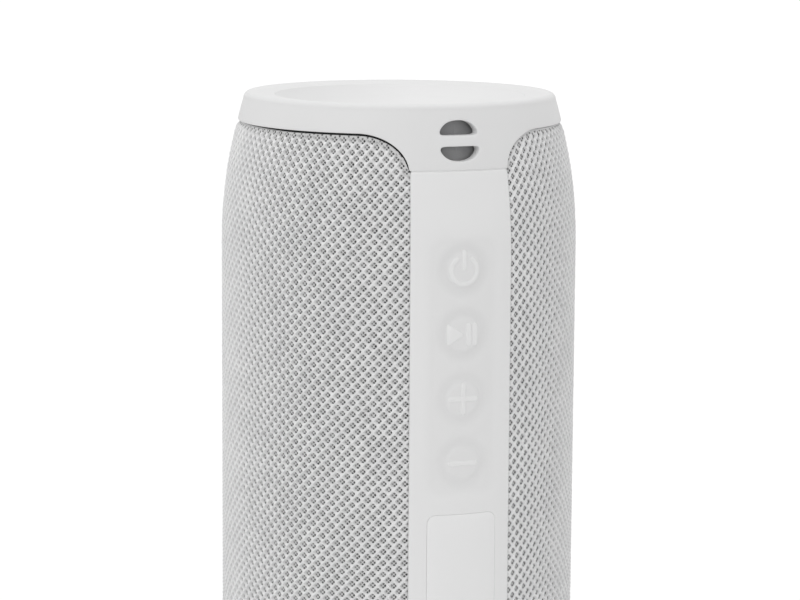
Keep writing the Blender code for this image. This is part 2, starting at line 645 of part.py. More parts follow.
# ---- drivers: profiles are (radius, y) ---------------------------------------
BASKET = [(r, BAFFLE_Y + off) for r, off in (
    (17.0, 2.3), (20.0, 2.3), (20.0, 0.9), (17.2, 0.9), (17.2, -2.2), (11.0, -13.0),
    (11.0, -15.2), (7.6, -15.2), (7.6, -14.0), (10.2, -14.0), (16.2, -2.0), (16.2, 1.0),
    (17.0, 1.0),
)]
GASKET = [(r, BAFFLE_Y + off) for r, off in ((17.9, 0.2), (19.8, 0.2), (19.8, 0.7), (17.9, 0.7))]
MAGNET = [
    (0.0, -0.8), (14.0, -0.8), (14.0, 6.4), (7.3, 6.4),
    (7.3, 1.0), (5.5, 1.0), (5.5, 7.4), (0.0, 7.4),
]
COIL = [(5.9, 3.0), (6.8, 3.0), (6.8, 15.6), (5.9, 15.6)]
CONE = [
    (0.0, 19.6), (3.6, 18.7), (5.5, 16.3), (12.6, 21.3), (13.6, 22.8), (14.9, 23.5),
    (15.9, 23.3), (15.9, 24.0), (14.9, 24.5), (13.2, 23.6), (12.3, 22.2), (5.6, 17.4),
    (3.8, 19.4), (0.0, 20.4),
]
for level, z in DRIVER_Z.items():
    world, own = (0.0, 0.0, 0.0), (0.0, BAFFLE_Y, z)
    for part, profile, look, origin in (
        ("basket", BASKET, BLACK_PLASTIC, world),
        ("gasket", GASKET, DARK_RUBBER, world),
        ("magnet", MAGNET, MAGNET_GREY, world),
        ("coil", COIL, COPPER, own),
        ("cone", CONE, CONE_GREY, own),
    ):
        place(f"{level}_driver_{part}", turned_y(profile, 20, 0.0, z), look, origin=origin)

# ---- passive radiators in both ends: (radius, z) at the top ------------------
RADIATOR_Z = 168.5       # origin of the moving parts
FRAME = [(24.9, 165.3), (27.4, 165.3), (27.4, 169.7), (24.9, 169.7)]
SURROUND = [
    (24.5, 171.2), (24.5, 172.0), (23.2, 171.9), (21.0, 171.4),
    (19.1, 171.1), (19.1, 170.3), (21.0, 170.6), (23.2, 171.1),
]
PLATE = [
    (0.0, 168.9), (18.0, 168.9), (18.8, 169.4), (18.8, 171.1), (12.0, 170.7), (0.0, 170.4),
]
for end, origin_z in (("top", RADIATOR_Z), ("bottom", HEIGHT - RADIATOR_Z)):
    for part, profile, look, z in (
        ("frame", FRAME, BLACK_PLASTIC, 0.0),
        ("surround", SURROUND, SOFT_WHITE, origin_z),
        ("plate", PLATE, SHELL_WHITE, origin_z),
    ):
        shape = lathe(profile, 24)
        if end == "bottom":
            flip_z(shape)
        place(f"{end}_radiator_{part}", shape, look, origin=(0.0, 0.0, z))


# ---- leads -------------------------------------------------------------------
LEAD_RADIUS = 0.7


def lead(name, points, look):
    curve = bpy.data.curves.new(name, "CURVE")
    curve.dimensions = "3D"
    curve.resolution_u = 2
    curve.bevel_depth = LEAD_RADIUS * MILLIMETRE
    curve.bevel_resolution = 0
    curve.use_fill_caps = True
    spline = curve.splines.new("NURBS")
    spline.points.add(len(points) - 1)
    for point, place_mm in zip(spline.points, points):
        point.co = (*[value * MILLIMETRE for value in place_mm], 1.0)
    spline.use_endpoint_u = True
    spline.order_u = 3
    obj = bpy.data.objects.new(name, curve)
    bpy.context.scene.collection.objects.link(obj)
    curve.materials.append(material(name, *look))


lead("battery_lead", [
    (0, BATTERY_Y, 121.4), (1.5, -12.0, 125.0), (5.0, -16.0, BATTERY_LEAD_Z),
    (LEAD_X, -20.0, BATTERY_LEAD_Z), (LEAD_X, MOUNT_BACK, BATTERY_LEAD_Z),
], WIRE_RED)
for level, way in (("upper", 1.0), ("lower", -1.0)):
    z, hole_z = DRIVER_Z[level], SPEAKER_LEAD_Z[level]
    lead(f"{level}_speaker_lead", [
        (-12.3, 8.8, z), (-16.4, 8.4, z), (-17.0, 2.0, z + 2.0 * way),
        (-15.5, -8.0, z + 7.0 * way), (-7.0, -17.5, hole_z),
        (-LEAD_X, -21.0, hole_z), (-LEAD_X, MOUNT_BACK, hole_z),
    ], BLACK_PLASTIC)
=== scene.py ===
"""Looks of a portable cylindrical speaker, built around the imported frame.

The speaker stands upright on z = 0 with its axis on Z. The control strip, with its four keys and
the port flap, faces -Y. Fabric covers the rest of the body, between two caps whose open ends
hold shallow radiator bowls. Sizes are in millimetres; polar() and on_body() turn them into metres.
"""

import json
import math

import bmesh
import bpy
import numpy as np
from mathutils import Matrix, Vector, kdtree
from mathutils.geometry import delaunay_2d_cdt


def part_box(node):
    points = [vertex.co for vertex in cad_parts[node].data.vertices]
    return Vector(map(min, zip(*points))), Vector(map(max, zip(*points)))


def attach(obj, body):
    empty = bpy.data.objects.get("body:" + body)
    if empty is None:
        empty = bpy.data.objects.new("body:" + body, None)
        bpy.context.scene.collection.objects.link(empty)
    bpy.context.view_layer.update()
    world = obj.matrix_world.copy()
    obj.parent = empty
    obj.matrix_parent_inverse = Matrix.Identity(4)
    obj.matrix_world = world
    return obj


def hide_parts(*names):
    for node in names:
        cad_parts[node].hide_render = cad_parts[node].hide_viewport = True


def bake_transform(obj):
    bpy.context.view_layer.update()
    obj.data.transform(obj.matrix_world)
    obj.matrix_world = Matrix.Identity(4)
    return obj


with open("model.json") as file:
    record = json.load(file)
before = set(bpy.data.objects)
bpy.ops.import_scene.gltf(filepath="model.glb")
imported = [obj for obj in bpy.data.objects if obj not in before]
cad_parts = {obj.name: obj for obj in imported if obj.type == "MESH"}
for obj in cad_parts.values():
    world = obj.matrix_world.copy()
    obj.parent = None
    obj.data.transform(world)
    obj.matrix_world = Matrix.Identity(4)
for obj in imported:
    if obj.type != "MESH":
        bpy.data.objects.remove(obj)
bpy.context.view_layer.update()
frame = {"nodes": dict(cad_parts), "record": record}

MM = 0.001


def centre_z(node):
    low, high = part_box(node)
    return 0.5 * (low.z + high.z) / MM


# ---- body and caps ---------------------------------------------------------------
HEIGHT = round(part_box("top_cap")[1].z / MM, 3)
BODY_R = round(-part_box("control_strip")[0].y / MM, 3)
MM_PER_DEG = BODY_R * math.pi / 180.0   # round the body
CREST = 0.9                             # from either end to the edge plane of its cap
EDGE_Z = HEIGHT - CREST                 # edge plane of the top cap; cap depths count from here
TAPER_LENGTH, TAPER_SCALE, TAPER_DROP, TAPER_POWER = 30.0, 24.7, 3.25, 2.08
CAP_WALL = 2.0
LIP = 5.25                              # depth of a cap's lower edge
TAB_END = round(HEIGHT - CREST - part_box("top_cap")[0].z / MM, 3)    # depth of the tab's end
TAB_HALF, FILLET_HALF = 17.3, 35.0      # degrees from the strip's middle
FILLET_DROP = 7.4
CAP_MM_PER_DEG = 34.0 * math.pi / 180.0     # scale of a cap wall's flat layout
LIP_MM_PER_DEG = MM_PER_DEG * 34.0 / 36.0   # scale for distances along the lips

# ---- control strip ---------------------------------------------------------------
STRIP_HALF_WIDTH = 17.0 * MM_PER_DEG
STRIP_WALL = 2.2
STRIP_TOP_Z = EDGE_Z - TAB_END - 0.07
STRIP_LOW_Z = HEIGHT - STRIP_TOP_Z
KEYS = {key: centre_z(f"{key}_switch") for key in ("power", "play", "volume_up", "volume_down")}
PAD_R = 5.9
PROUD = 0.40         # rise of the strip's middle over the plain body
PROUD_FROM = 55.2    # it rises only above the flap's hinge, so that the open flap clears it

# ---- port flap ---------------------------------------------------------------------
FLAP_TOP = round(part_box("port_flap")[1].z / MM, 3)
FLAP_BOTTOM = round(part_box("port_flap")[0].z / MM, 3)
FLAP_HALF = round(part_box("port_flap")[1].x / MM, 3)
FLAP_WIDE = FLAP_HALF + 0.12
GROOVE = 0.025
PIVOT_Y = 0.5 * (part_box("flap_hinge_pin")[0].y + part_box("flap_hinge_pin")[1].y) / MM
PIVOT_Z = centre_z("flap_hinge_pin")

# ---- fabric ------------------------------------------------------------------------
SLEEVE_EDGE = 17.22     # degrees from the strip's middle, where the fabric starts
SPAN = 360.0 - 2 * SLEEVE_EDGE
COLUMNS = 98
PITCH_TURN = SPAN / COLUMNS
PITCH_U = PITCH_TURN * BODY_R * math.pi / 180.0
PITCH_Z = 2.25
LATTICE_Z, LATTICE_SHIFT = HEIGHT / 2 + 0.05, 0.216
SEGMENTS = 12           # points round a hole
PANELS = 8

VIEW_ANGLE = math.radians(-20.6)        # the camera stands this far round from the strip
VIEW_TURN = Matrix.Rotation(VIEW_ANGLE, 3, "Z")


def smooth(x):
    """Eased step from 0 to 1 over x from 0 to 1."""
    x = np.clip(x, 0.0, 1.0)
    return x * x * x * (x * (6.0 * x - 15.0) + 10.0)


def signed_turn(turn):
    return (np.asarray(turn, float) + 180.0) % 360.0 - 180.0


def body_r(z):
    """Radius of the body, which tapers towards both ends."""
    down = np.minimum(z, HEIGHT - z) - CREST
    taper = np.clip(TAPER_LENGTH - down, 0.0, None) / TAPER_SCALE
    return BODY_R - TAPER_DROP * taper ** TAPER_POWER


def lip_at(turn):
    """Depth of a cap's lower edge: a fillet leads from the lip down to the tab over the strip."""
    share = (FILLET_HALF - np.abs(signed_turn(turn))) / (FILLET_HALF - TAB_HALF)
    share = np.clip(share, 0.0, 1.0)
    drop = FILLET_DROP * (1.0 - np.sqrt(np.clip(1.0 - share * share, 0.0, None)))
    return np.minimum(TAB_END, LIP + drop)


def row_rise(turn):
    """The cloth is pulled on a little askew: its rows run round the body on a slight slant."""
    return 2.6 * (1.0 - np.cos(np.radians(np.asarray(turn, float) + 24.0)))


def polar(turn, radius, z):
    """Points at an angle (deg) from the strip's middle, turning towards +X; metres out."""
    angle = np.radians(turn)
    x, y = radius * np.sin(angle), -radius * np.cos(angle)
    return np.stack([x, y, z + 0.0 * angle], axis=-1) * MM


def on_body(flat, depth):
    """Flat positions (u, z) laid on the body at a depth, metres out."""
    return polar(flat[:, 0] / MM_PER_DEG, body_r(flat[:, 1]) - depth, flat[:, 1])


def at_end(points, top):
    """Points modelled for the top end, mirrored to the bottom end when top is false."""
    return points if top else points * np.array([1, 1, -1]) + np.array([0, 0, HEIGHT * MM])


# ---- objects -------------------------------------------------------------------------
def mesh_object(name, points, faces, material, sharp=None, normals=None):
    """Mesh from arrays. faces is one array of equal faces, or a list of such arrays."""
    groups = faces if isinstance(faces, list) else [faces]
    mesh = bpy.data.meshes.new(name)
    points = np.asarray(points, np.float32).reshape(-1, 3)
    mesh.vertices.add(len(points))
    mesh.vertices.foreach_set("co", points.ravel())
    loops = np.concatenate([np.asarray(group, np.int32).ravel() for group in groups])
    sizes = np.concatenate([np.full(len(group), group.shape[1], np.int32) for group in groups])
    starts = np.concatenate([[0], np.cumsum(sizes)[:-1]]).astype(np.int32)
    mesh.loops.add(len(loops))
    mesh.loops.foreach_set("vertex_index", loops)
    mesh.polygons.add(len(sizes))
    mesh.polygons.foreach_set("loop_start", starts)
    mesh.update(calc_edges=True)
    mesh.validate()
    mesh.shade_smooth()
    if sharp is not None:
        mesh.set_sharp_from_angle(angle=math.radians(sharp))
    if normals is not None:
        mesh.normals_split_custom_set_from_vertices([tuple(normal) for normal in normals])
    obj = bpy.data.objects.new(name, mesh)
    bpy.context.scene.collection.objects.link(obj)
    mesh.materials.append(material)
    return obj


def solid(name, points, faces, material, sharp=35, weld=False):
    """Closed mesh with its faces turned outwards; weld joins parts that meet."""
    obj = mesh_object(name, points, faces, material)
    bm = bmesh.new()
    bm.from_mesh(obj.data)
    if weld:
        bmesh.ops.remove_doubles(bm, verts=bm.verts, dist=2e-6)
    bmesh.ops.recalc_face_normals(bm, faces=bm.faces)
    bm.to_mesh(obj.data)
    bm.free()
    obj.data.set_sharp_from_angle(angle=math.radians(sharp))
    return obj


def swept_bar(name, lines, material, sharp=35):
    """Closed bar: lines are the paths of its section's corners, in order round the section."""
    lines = np.array(lines)
    index = np.arange(lines.shape[0] * lines.shape[1]).reshape(lines.shape[:2])
    after = np.roll(index, -1, axis=0)
    sides = np.stack([index[:, :-1], after[:, :-1], after[:, 1:], index[:, 1:]], axis=2)
    faces = [sides.reshape(-1, 4), index[:, 0][None], index[::-1, -1][None]]
    return solid(name, lines, faces, material, sharp)


def ring_quads(ring, following):
    """Quads between two closed rings of vertex indices."""
    return np.stack([ring, following, np.roll(following, -1), np.roll(ring, -1)], axis=1)


def dress(obj, replaced, rides=None):
    """Hides the frame's node that an object stands for, and parents the object to the body it
    moves with.
    """
    if rides:
        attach(obj, rides)
    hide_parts(replaced)


def blend_from(obj, weigh):
    """Bakes an object's placement into its mesh and works out a weight for each point; weigh maps
    points to weights, which are not stored.
    """
    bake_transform(obj)
    points = np.empty(len(obj.data.vertices) * 3, np.float32)
    obj.data.vertices.foreach_get("co", points)
    weight = weigh(points.reshape(-1, 3) / MM).astype(np.float32)


def add_shade(obj, values):
    """Vertex value for painted shade: it darkens the colour, and lightens it where negative."""
    layer = obj.data.attributes.new("shade", "FLOAT", "POINT")
    layer.data.foreach_set("value", values.astype(np.float32))


def add_uv(obj, uv_of_vertex, name="OFBake"):
    layer = obj.data.uv_layers.new(name=name)
    index = np.empty(len(obj.data.loops), np.int32)
    obj.data.loops.foreach_get("vertex_index", index)
    layer.data.foreach_set("uv", np.asarray(uv_of_vertex, np.float32)[index].ravel())


def vertex_normals(points, faces):
    """Area-weighted normals of a triangle or quad mesh."""
    normals = np.zeros_like(points)
    corners = points[faces]
    face_normals = np.cross(corners[:, 2] - corners[:, 0], corners[:, -1] - corners[:, 1])
    for k in range(faces.shape[1]):
        np.add.at(normals, faces[:, k], face_normals)
    return normals / np.maximum(np.linalg.norm(normals, axis=1, keepdims=True), 1e-20)


# ---- flat outlines -------------------------------------------------------------------
def unit(vectors):
    return vectors / np.linalg.norm(vectors, axis=1, keepdims=True)


def left_of(vectors):
    return np.stack([-vectors[:, 1], vectors[:, 0]], axis=1)


def left_normals(line):
    """Unit normals to the left of an open line."""
    return left_of(unit(np.gradient(line, axis=0)))


def lengths_along(line):
    return np.concatenate([[0.0], np.cumsum(np.linalg.norm(np.diff(line, axis=0), axis=1))])


def points_along(line, lengths, stations):
    return np.stack([np.interp(stations, lengths, line[:, k]) for k in range(2)], axis=1)


def resample(points, step):
    """A closed line at nearly equal steps, keeping its shape."""
    line = np.vstack([points, points[:1]])
    lengths = lengths_along(line)
    count = max(8, int(round(lengths[-1] / step)))
    return points_along(line, lengths, np.arange(count) * lengths[-1] / count)


def resample_open(line, step):
    lengths = lengths_along(line)
    count = max(int(lengths[-1] / step), 4)
    return points_along(line, lengths, np.linspace(0.0, lengths[-1], count))


def inset(loop, distance):
    """A closed counter-clockwise loop moved to its left by a distance."""
    ahead = unit(np.roll(loop, -1, axis=0) - loop)
    behind = unit(loop - np.roll(loop, 1, axis=0))
    normal = left_of(unit(ahead + behind))
    stretch = 1.0 / np.clip((normal * left_of(ahead)).sum(1), 0.6, 1.0)
    return loop + normal * distance * stretch[:, None]


def rounded_rect(half_width, z0, z1, radius, steps=10):
    """Counter-clockwise rectangle centred on u = 0."""
    x, low, high = half_width - radius, z0 + radius, z1 - radius
    points = []
    for cx, cz, start in ((x, high, 0), (-x, high, 90), (-x, low, 180), (x, low, 270)):
        for i in range(steps + 1):
            angle = math.radians(start + 90 * i / steps)
            points.append((cx + radius * math.cos(angle), cz + radius * math.sin(angle)))
    return np.array(points)


def circle_points(z, radius, count):
    angle = 2 * math.pi * np.arange(count) / count
    return np.stack([radius * np.cos(angle), z + radius * np.sin(angle)], axis=1)


def from_centre(flat, z):
    """Distance of flat positions to (0, z)."""
    return np.hypot(flat[:, 0], flat[:, 1] - z)


def disc_grid(z, radius, step):
    """Staggered grid inside a circle about (0, z)."""
    count = int(radius / step) + 2
    tall = count + count // 5
    grid = np.array([
        ((i + 0.5 * (j % 2)) * step, z + j * step * 0.866)
        for j in range(-tall, tall + 1)
        for i in range(-count - 1, count + 2)
    ])
    return grid[from_centre(grid, z) < radius]


def hex_grid(half_width, z0, z1, step):
    """Staggered grid over a rectangle centred on u = 0."""
    columns, rows = int(2 * half_width / step) + 2, int((z1 - z0) / (step * 0.866)) + 2
    grid = np.array([
        (-half_width + (i + 0.5 * (j % 2)) * step, z0 + j * step * 0.866)
        for j in range(rows)
        for i in range(columns)
    ])
    return grid[(grid[:, 0] < half_width) & (grid[:, 1] < z1)]


def inside_loop(points, loop):
    """Even-odd test of points against one closed loop."""
    x, y = points[:, 0][:, None], points[:, 1][:, None]
    x0, y0 = loop[:, 0][None], loop[:, 1][None]
    x1, y1 = np.roll(loop[:, 0], -1)[None], np.roll(loop[:, 1], -1)[None]
    crosses = (y0 > y) != (y1 > y)
    with np.errstate(divide="ignore", invalid="ignore"):
        crossing_x = x0 + (y - y0) * (x1 - x0) / (y1 - y0)
    return (crosses & (x < crossing_x)).sum(1) % 2 == 1


def loop_distance(points, loop):
    """Distance of points to the nearest segment of a closed loop, in batches."""
    distance = np.empty(len(points))
    run = np.roll(loop, -1, axis=0) - loop
    run_squared = np.maximum((run * run).sum(1), 1e-12)
    batch = 2000
    for i in range(0, len(points), batch):
        some = points[i:i + batch]
        share = ((some[:, None] - loop[None]) * run[None]).sum(2) / run_squared[None]
        nearest = loop[None] + np.clip(share, 0.0, 1.0)[..., None] * run[None]
        distance[i:i + batch] = np.sqrt(((nearest - some[:, None]) ** 2).sum(2)).min(1)
    return distance


def keep_clear(points, loops, gap, outline, holes=()):
    """Points inside the outline, outside the holes and farther than a gap from the loops."""
    keep = inside_loop(points, outline)
    for hole in holes:
        keep &= ~inside_loop(points, hole)
    for loop in loops:
        keep &= loop_distance(points, loop) > gap
    return points[keep]


def nearest_finder(points):
    """Function giving the distance from a flat position to the nearest of the points."""
    tree = kdtree.KDTree(len(points))
    for i, (x, y) in enumerate(points):
        tree.insert((x, y, 0.0), i)
    tree.balance()
    return lambda point: tree.find((point[0], point[1], 0.0))[2]


# ---- sheets --------------------------------------------------------------------------
def rim_steps(width, steps=4):
    """(inset, drop) of the lines that round an edge over."""
    angles = [math.pi / 2 * i / steps for i in range(steps + 1)]
    return [(width * (1 - math.cos(a)), width * (1 - math.sin(a))) for a in angles]


def rim(loop, width, steps=4):
    """Rounded edge of a closed loop, as (line, drop, closed) entries."""
    return [(inset(loop, moved), drop, True) for moved, drop in rim_steps(width, steps)]


def triangulate(lines, grid, outline, holes):
    """Triangulated sheet with (line, drop, closed) entries as edges: points, drops, triangles."""
    points, drops, edges = [], [], []
    for line, drop, closed in lines:
        start, count = len(points), len(line)
        points.extend(line.tolist())
        drops.extend([drop] * count)
        last = count if closed else count - 1
        edges.extend((start + i, start + (i + 1) % count) for i in range(last))
    points = np.vstack([np.array(points), grid])
    drops = np.concatenate([np.array(drops), np.zeros(len(grid))])
    result = delaunay_2d_cdt([Vector(point) for point in points], edges, [], 0, 1e-6)
    flat = np.array([(v.x, v.y) for v in result[0]])
    drop = np.array([drops[sources[0]] if sources else 0.0 for sources in result[3]])
    tris = np.array([face for face in result[2] if len(face) == 3], int)
    centre = flat[tris].mean(1)
    keep = inside_loop(centre, outline)
    for hole in holes:
        keep &= ~inside_loop(centre, hole)
    first, second, third = (flat[tris[:, k]] for k in range(3))
    along, over = second - first, third - first
    area = along[:, 0] * over[:, 1] - along[:, 1] * over[:, 0]
    keep &= np.abs(area) > 1e-9
    tris, area = tris[keep], area[keep]
    tris[area < 0] = tris[area < 0][:, ::-1]
    return flat, drop, tris


def border_of(tris):
    """Directed edges that belong to one triangle only."""
    pairs = np.concatenate([tris[:, [0, 1]], tris[:, [1, 2]], tris[:, [2, 0]]])
    key = np.sort(pairs, axis=1)
    _, index, count = np.unique(key, axis=0, return_inverse=True, return_counts=True)
    return pairs[count[index.reshape(-1)] == 1]


def thick(tris, border, front, back):
    """Solid between two copies of a sheet: vertices, [triangles, walls], source vertices."""
    used = np.unique(tris)
    count = len(used)
    new = -np.ones(len(front), int)
    new[used] = np.arange(count)
    faces = new[tris]
    start, end = new[border[:, 0]], new[border[:, 1]]
    walls = np.stack([end, start, start + count, end + count], axis=1)
    both = np.vstack([faces, faces[:, ::-1] + count])
    return np.vstack([front[used], back[used]]), [both, walls], used


# ---- shader helpers ------------------------------------------------------------------
def feed(node, inputs):
    """Sets a node's inputs, by name or index, to plain values or to other nodes' outputs."""
    for place, value in inputs.items():
        socket = node.inputs[place]
        if isinstance(value, bpy.types.NodeSocket):
            node.id_data.links.new(value, socket)
        else:
            socket.default_value = (*value, 1.0) if socket.type == "RGBA" else value


def add_node(tree, kind, inputs=None, **settings):
    node = tree.nodes.new("ShaderNode" + kind)
    for setting, value in settings.items():
        setattr(node, setting, value)
    feed(node, inputs or {})
    return node


def new_material(name, colour, roughness, metallic=0.0):
    material = bpy.data.materials.new(name)
    material.use_nodes = True
    tree = material.node_tree
    shader = tree.nodes["Principled BSDF"]
    feed(shader, {"Base Color": colour, "Roughness": roughness, "Metallic": metallic})
    return material, tree, shader


def grey(value):
    return (value, value, value)


def coords(tree):
    return add_node(tree, "TexCoord").outputs["Object"]


def noise(tree, scale, detail=2.0, roughness=0.5, vector=None, output="Fac"):
    vector = vector if vector is not None else coords(tree)
    inputs = {"Scale": scale, "Detail": detail, "Roughness": roughness, "Vector": vector}
    return add_node(tree, "TexNoise", inputs).outputs[output]


def remap(tree, value, source, target=(0.0, 1.0)):
    """Maps a value from the source range to the target range."""
    inputs = {
        "From Min": source[0], "From Max": source[1],
        "To Min": target[0], "To Max": target[1], "Value": value,
    }
    return add_node(tree, "MapRange", inputs).outputs["Result"]


def mix_colour(tree, factor, first, second, blend="MIX"):
    # sockets 0, 6 and 7 are the factor and the two colours
    inputs = {0: factor, 6: first, 7: second}
    return add_node(tree, "Mix", inputs, data_type="RGBA", blend_type=blend).outputs[2]


def calc(tree, operation, *values):
    return add_node(tree, "Math", dict(enumerate(values)), operation=operation).outputs[0]


def vector_calc(tree, operation, *values):
    node = add_node(tree, "VectorMath", dict(enumerate(values)), operation=operation)
    return node.outputs["Value" if operation in ("LENGTH", "DOT_PRODUCT") else "Vector"]


def separate(tree, vector):
    return add_node(tree, "SeparateXYZ", {0: vector}).outputs


def shade_value(tree):
    return add_node(tree, "Attribute", attribute_name="shade").outputs["Fac"]


def bump(tree, shader, height, strength, distance_mm):
    inputs = {"Strength": strength, "Distance": distance_mm * MM, "Height": height}
    feed(shader, {"Normal": add_node(tree, "Bump", inputs).outputs["Normal"]})


# ---- materials -----------------------------------------------------------------------
def moulded(name, colour, roughness, grain=1.0, tint=0.03, scale=2600.0, sheen=0.0):
    """Moulded plastic or elastomer: fine eroded grain, slightly cloudy colour and gloss."""
    material, tree, shader = new_material(name, colour, roughness)
    cloud = remap(tree, noise(tree, scale=45.0, detail=3.0), source=(0.3, 0.7))
    dark = tuple(channel * (1.0 - tint) for channel in colour)
    fine = noise(tree, scale=scale, detail=3.0, roughness=0.6)
    gloss = remap(tree, fine, source=(0.3, 0.7), target=(roughness - 0.06, roughness + 0.06))
    feed(shader, {"Base Color": mix_colour(tree, cloud, dark, colour), "Roughness": gloss})
    bump(tree, shader, fine, strength=0.35 * grain, distance_mm=0.03)
    if sheen:
        feed(shader, {"Sheen Weight": sheen, "Sheen Roughness": 0.5})
    return material


def brushed(name, colour, roughness):
    """Metal brushed along Z."""
    material, tree, shader = new_material(name, colour, roughness, metallic=1.0)
    stretch = add_node(tree, "Mapping", {"Scale": (1500, 1500, 40), "Vector": coords(tree)})
    fine = noise(tree, scale=1.0, detail=3.0, roughness=0.6, vector=stretch.outputs["Vector"])
    gloss = remap(tree, fine, source=(0.3, 0.7), target=(roughness * 0.8, roughness * 1.25))
    feed(shader, {"Roughness": gloss})
    bump(tree, shader, fine, strength=0.2, distance_mm=0.01)
    return material


def shell_material():
    """White plastic; above the edge plane of the top cap it is a touch darker: painted shade on
    the crown.
    """
    material = moulded("shell_white", grey(0.784), roughness=0.50, tint=0.015)
    tree = material.node_tree
    shader = tree.nodes["Principled BSDF"]
    height = separate(tree, coords(tree))["Z"]
    # painted shade: the colour darkens over the crown, above the top cap's edge plane
    crown_shade_share = remap(tree, height, source=((EDGE_Z - 0.08) * MM, (EDGE_Z + 0.3) * MM))
    plain = shader.inputs["Base Color"].links[0].from_socket
    crown_shaded = mix_colour(tree, crown_shade_share, plain, grey(0.774))
    feed(shader, {"Specular IOR Level": 0.32, "Base Color": crown_shaded})
    return material


def strip_material():
    """Soft elastomer; the shade value paints a slight shade into its hollows, and lightens it
    where negative.
    """
    material = moulded(
        "soft_strip_white", grey(0.832), roughness=0.62, grain=0.8, tint=0.015, scale=3400.0,
        sheen=0.1)
    tree = material.node_tree
    shader = tree.nodes["Principled BSDF"]
    plain = shader.inputs["Base Color"].links[0].from_socket
    # painted shade: the colour drops 6 % for each unit of shade value
    level = calc(tree, "ADD", calc(tree, "MULTIPLY", shade_value(tree), -0.060), 1.0)
    painted_shade = add_node(tree, "CombineColor", {0: level, 1: level, 2: level}).outputs[0]
    feed(shader, {"Base Color": mix_colour(tree, 1.0, plain, painted_shade, blend="MULTIPLY")})
    return material


def knit_material():
    """Matte white yarn: filament bump, colour varying from yarn to yarn, soft sheen, and painted
    shade where the shade value is set.
    """
    material, tree, shader = new_material("knit_white", grey(0.80), roughness=0.9)
    cloud = remap(tree, noise(tree, scale=160.0), source=(0.25, 0.75))
    yarn = mix_colour(tree, cloud, (0.83, 0.83, 0.835), grey(0.895))
    # painted shade: the yarn's colour goes towards dark grey with the shade value
    shaded = mix_colour(tree, shade_value(tree), yarn, grey(0.30))
    feed(shader, {"Base Color": shaded, "Sheen Weight": 0.04, "Sheen Roughness": 0.6})
    fibre = noise(tree, scale=5200.0, roughness=0.7)
    bump(tree, shader, fibre, strength=0.5, distance_mm=0.05)
    return material


def backing_openings(tree, lattice, shift):
    """Darkness of four small openings round the middle of each lattice cell, less on one side and
    above: painted light.
    """
    cell = vector_calc(tree, "FRACTION", vector_calc(tree, "ADD", lattice, shift))
    centred = vector_calc(tree, "SUBTRACT", cell, (0.5, 0.5, 0.0))
    local = vector_calc(tree, "MULTIPLY", centred, (PITCH_U, PITCH_Z, 0.0))
    across = vector_calc(tree, "ABSOLUTE", local)
    flat = vector_calc(tree, "MULTIPLY", across, (1.0, 1.0, 0.0))
    # openings stand 0.40 to either side and 0.39 above and below
    side = vector_calc(tree, "LENGTH", vector_calc(tree, "SUBTRACT", flat, (0.40, 0.0, 0.0)))
    ends = vector_calc(tree, "LENGTH", vector_calc(tree, "SUBTRACT", across, (0.0, 0.39, 0.0)))
    near = calc(tree, "MINIMUM", side, ends)
    spot = remap(tree, near, source=(0.15, 0.27), target=(1.0, 0.0))
    # painted light: openings at lower u and above are made less dark, as if lit from that side and
    # from above
    axes = separate(tree, local)
    painted_side_light = remap(tree, axes["X"], source=(-0.4, 0.2), target=(0.6, 1.0))
    painted_top_light = remap(tree, axes["Y"], source=(-0.3, 0.4), target=(1.0, 0.88))
    return calc(tree, "MULTIPLY", spot, calc(tree, "MULTIPLY", painted_side_light, painted_top_light))


def backing_material():
    """Second layer of the mesh: behind each hole, crossed threads between dark openings."""
    material, tree, shader = new_material("knit_backing", grey(0.7), roughness=0.9)
    lattice = add_node(tree, "UVMap", uv_map="Lattice").outputs["UV"]
    wander = noise(tree, scale=3.1, detail=1.0, vector=lattice, output="Color")
    centred = vector_calc(tree, "SUBTRACT", wander, grey(0.5))
    moved = vector_calc(
        tree, "ADD", lattice, vector_calc(tree, "MULTIPLY", centred, (0.16, 0.16, 0.0)))
    sets = [backing_openings(tree, moved, shift) for shift in ((0.5, 0.5, 0.0), grey(0.0))]
    both = calc(tree, "MAXIMUM", *sets)
    vary = noise(tree, scale=2.3, detail=1.0, vector=lattice)
    strength = remap(tree, vary, source=(0.3, 0.6), target=(0.85, 1.0))
    dark = calc(tree, "MULTIPLY", both, strength)
    colour = mix_colour(tree, dark, grey(0.66), grey(0.006))
    feed(shader, {"Base Color": colour, "Specular IOR Level": 0.2})
    bump(tree, shader, calc(tree, "SUBTRACT", 1.0, both), strength=0.6, distance_mm=0.12)
    return material


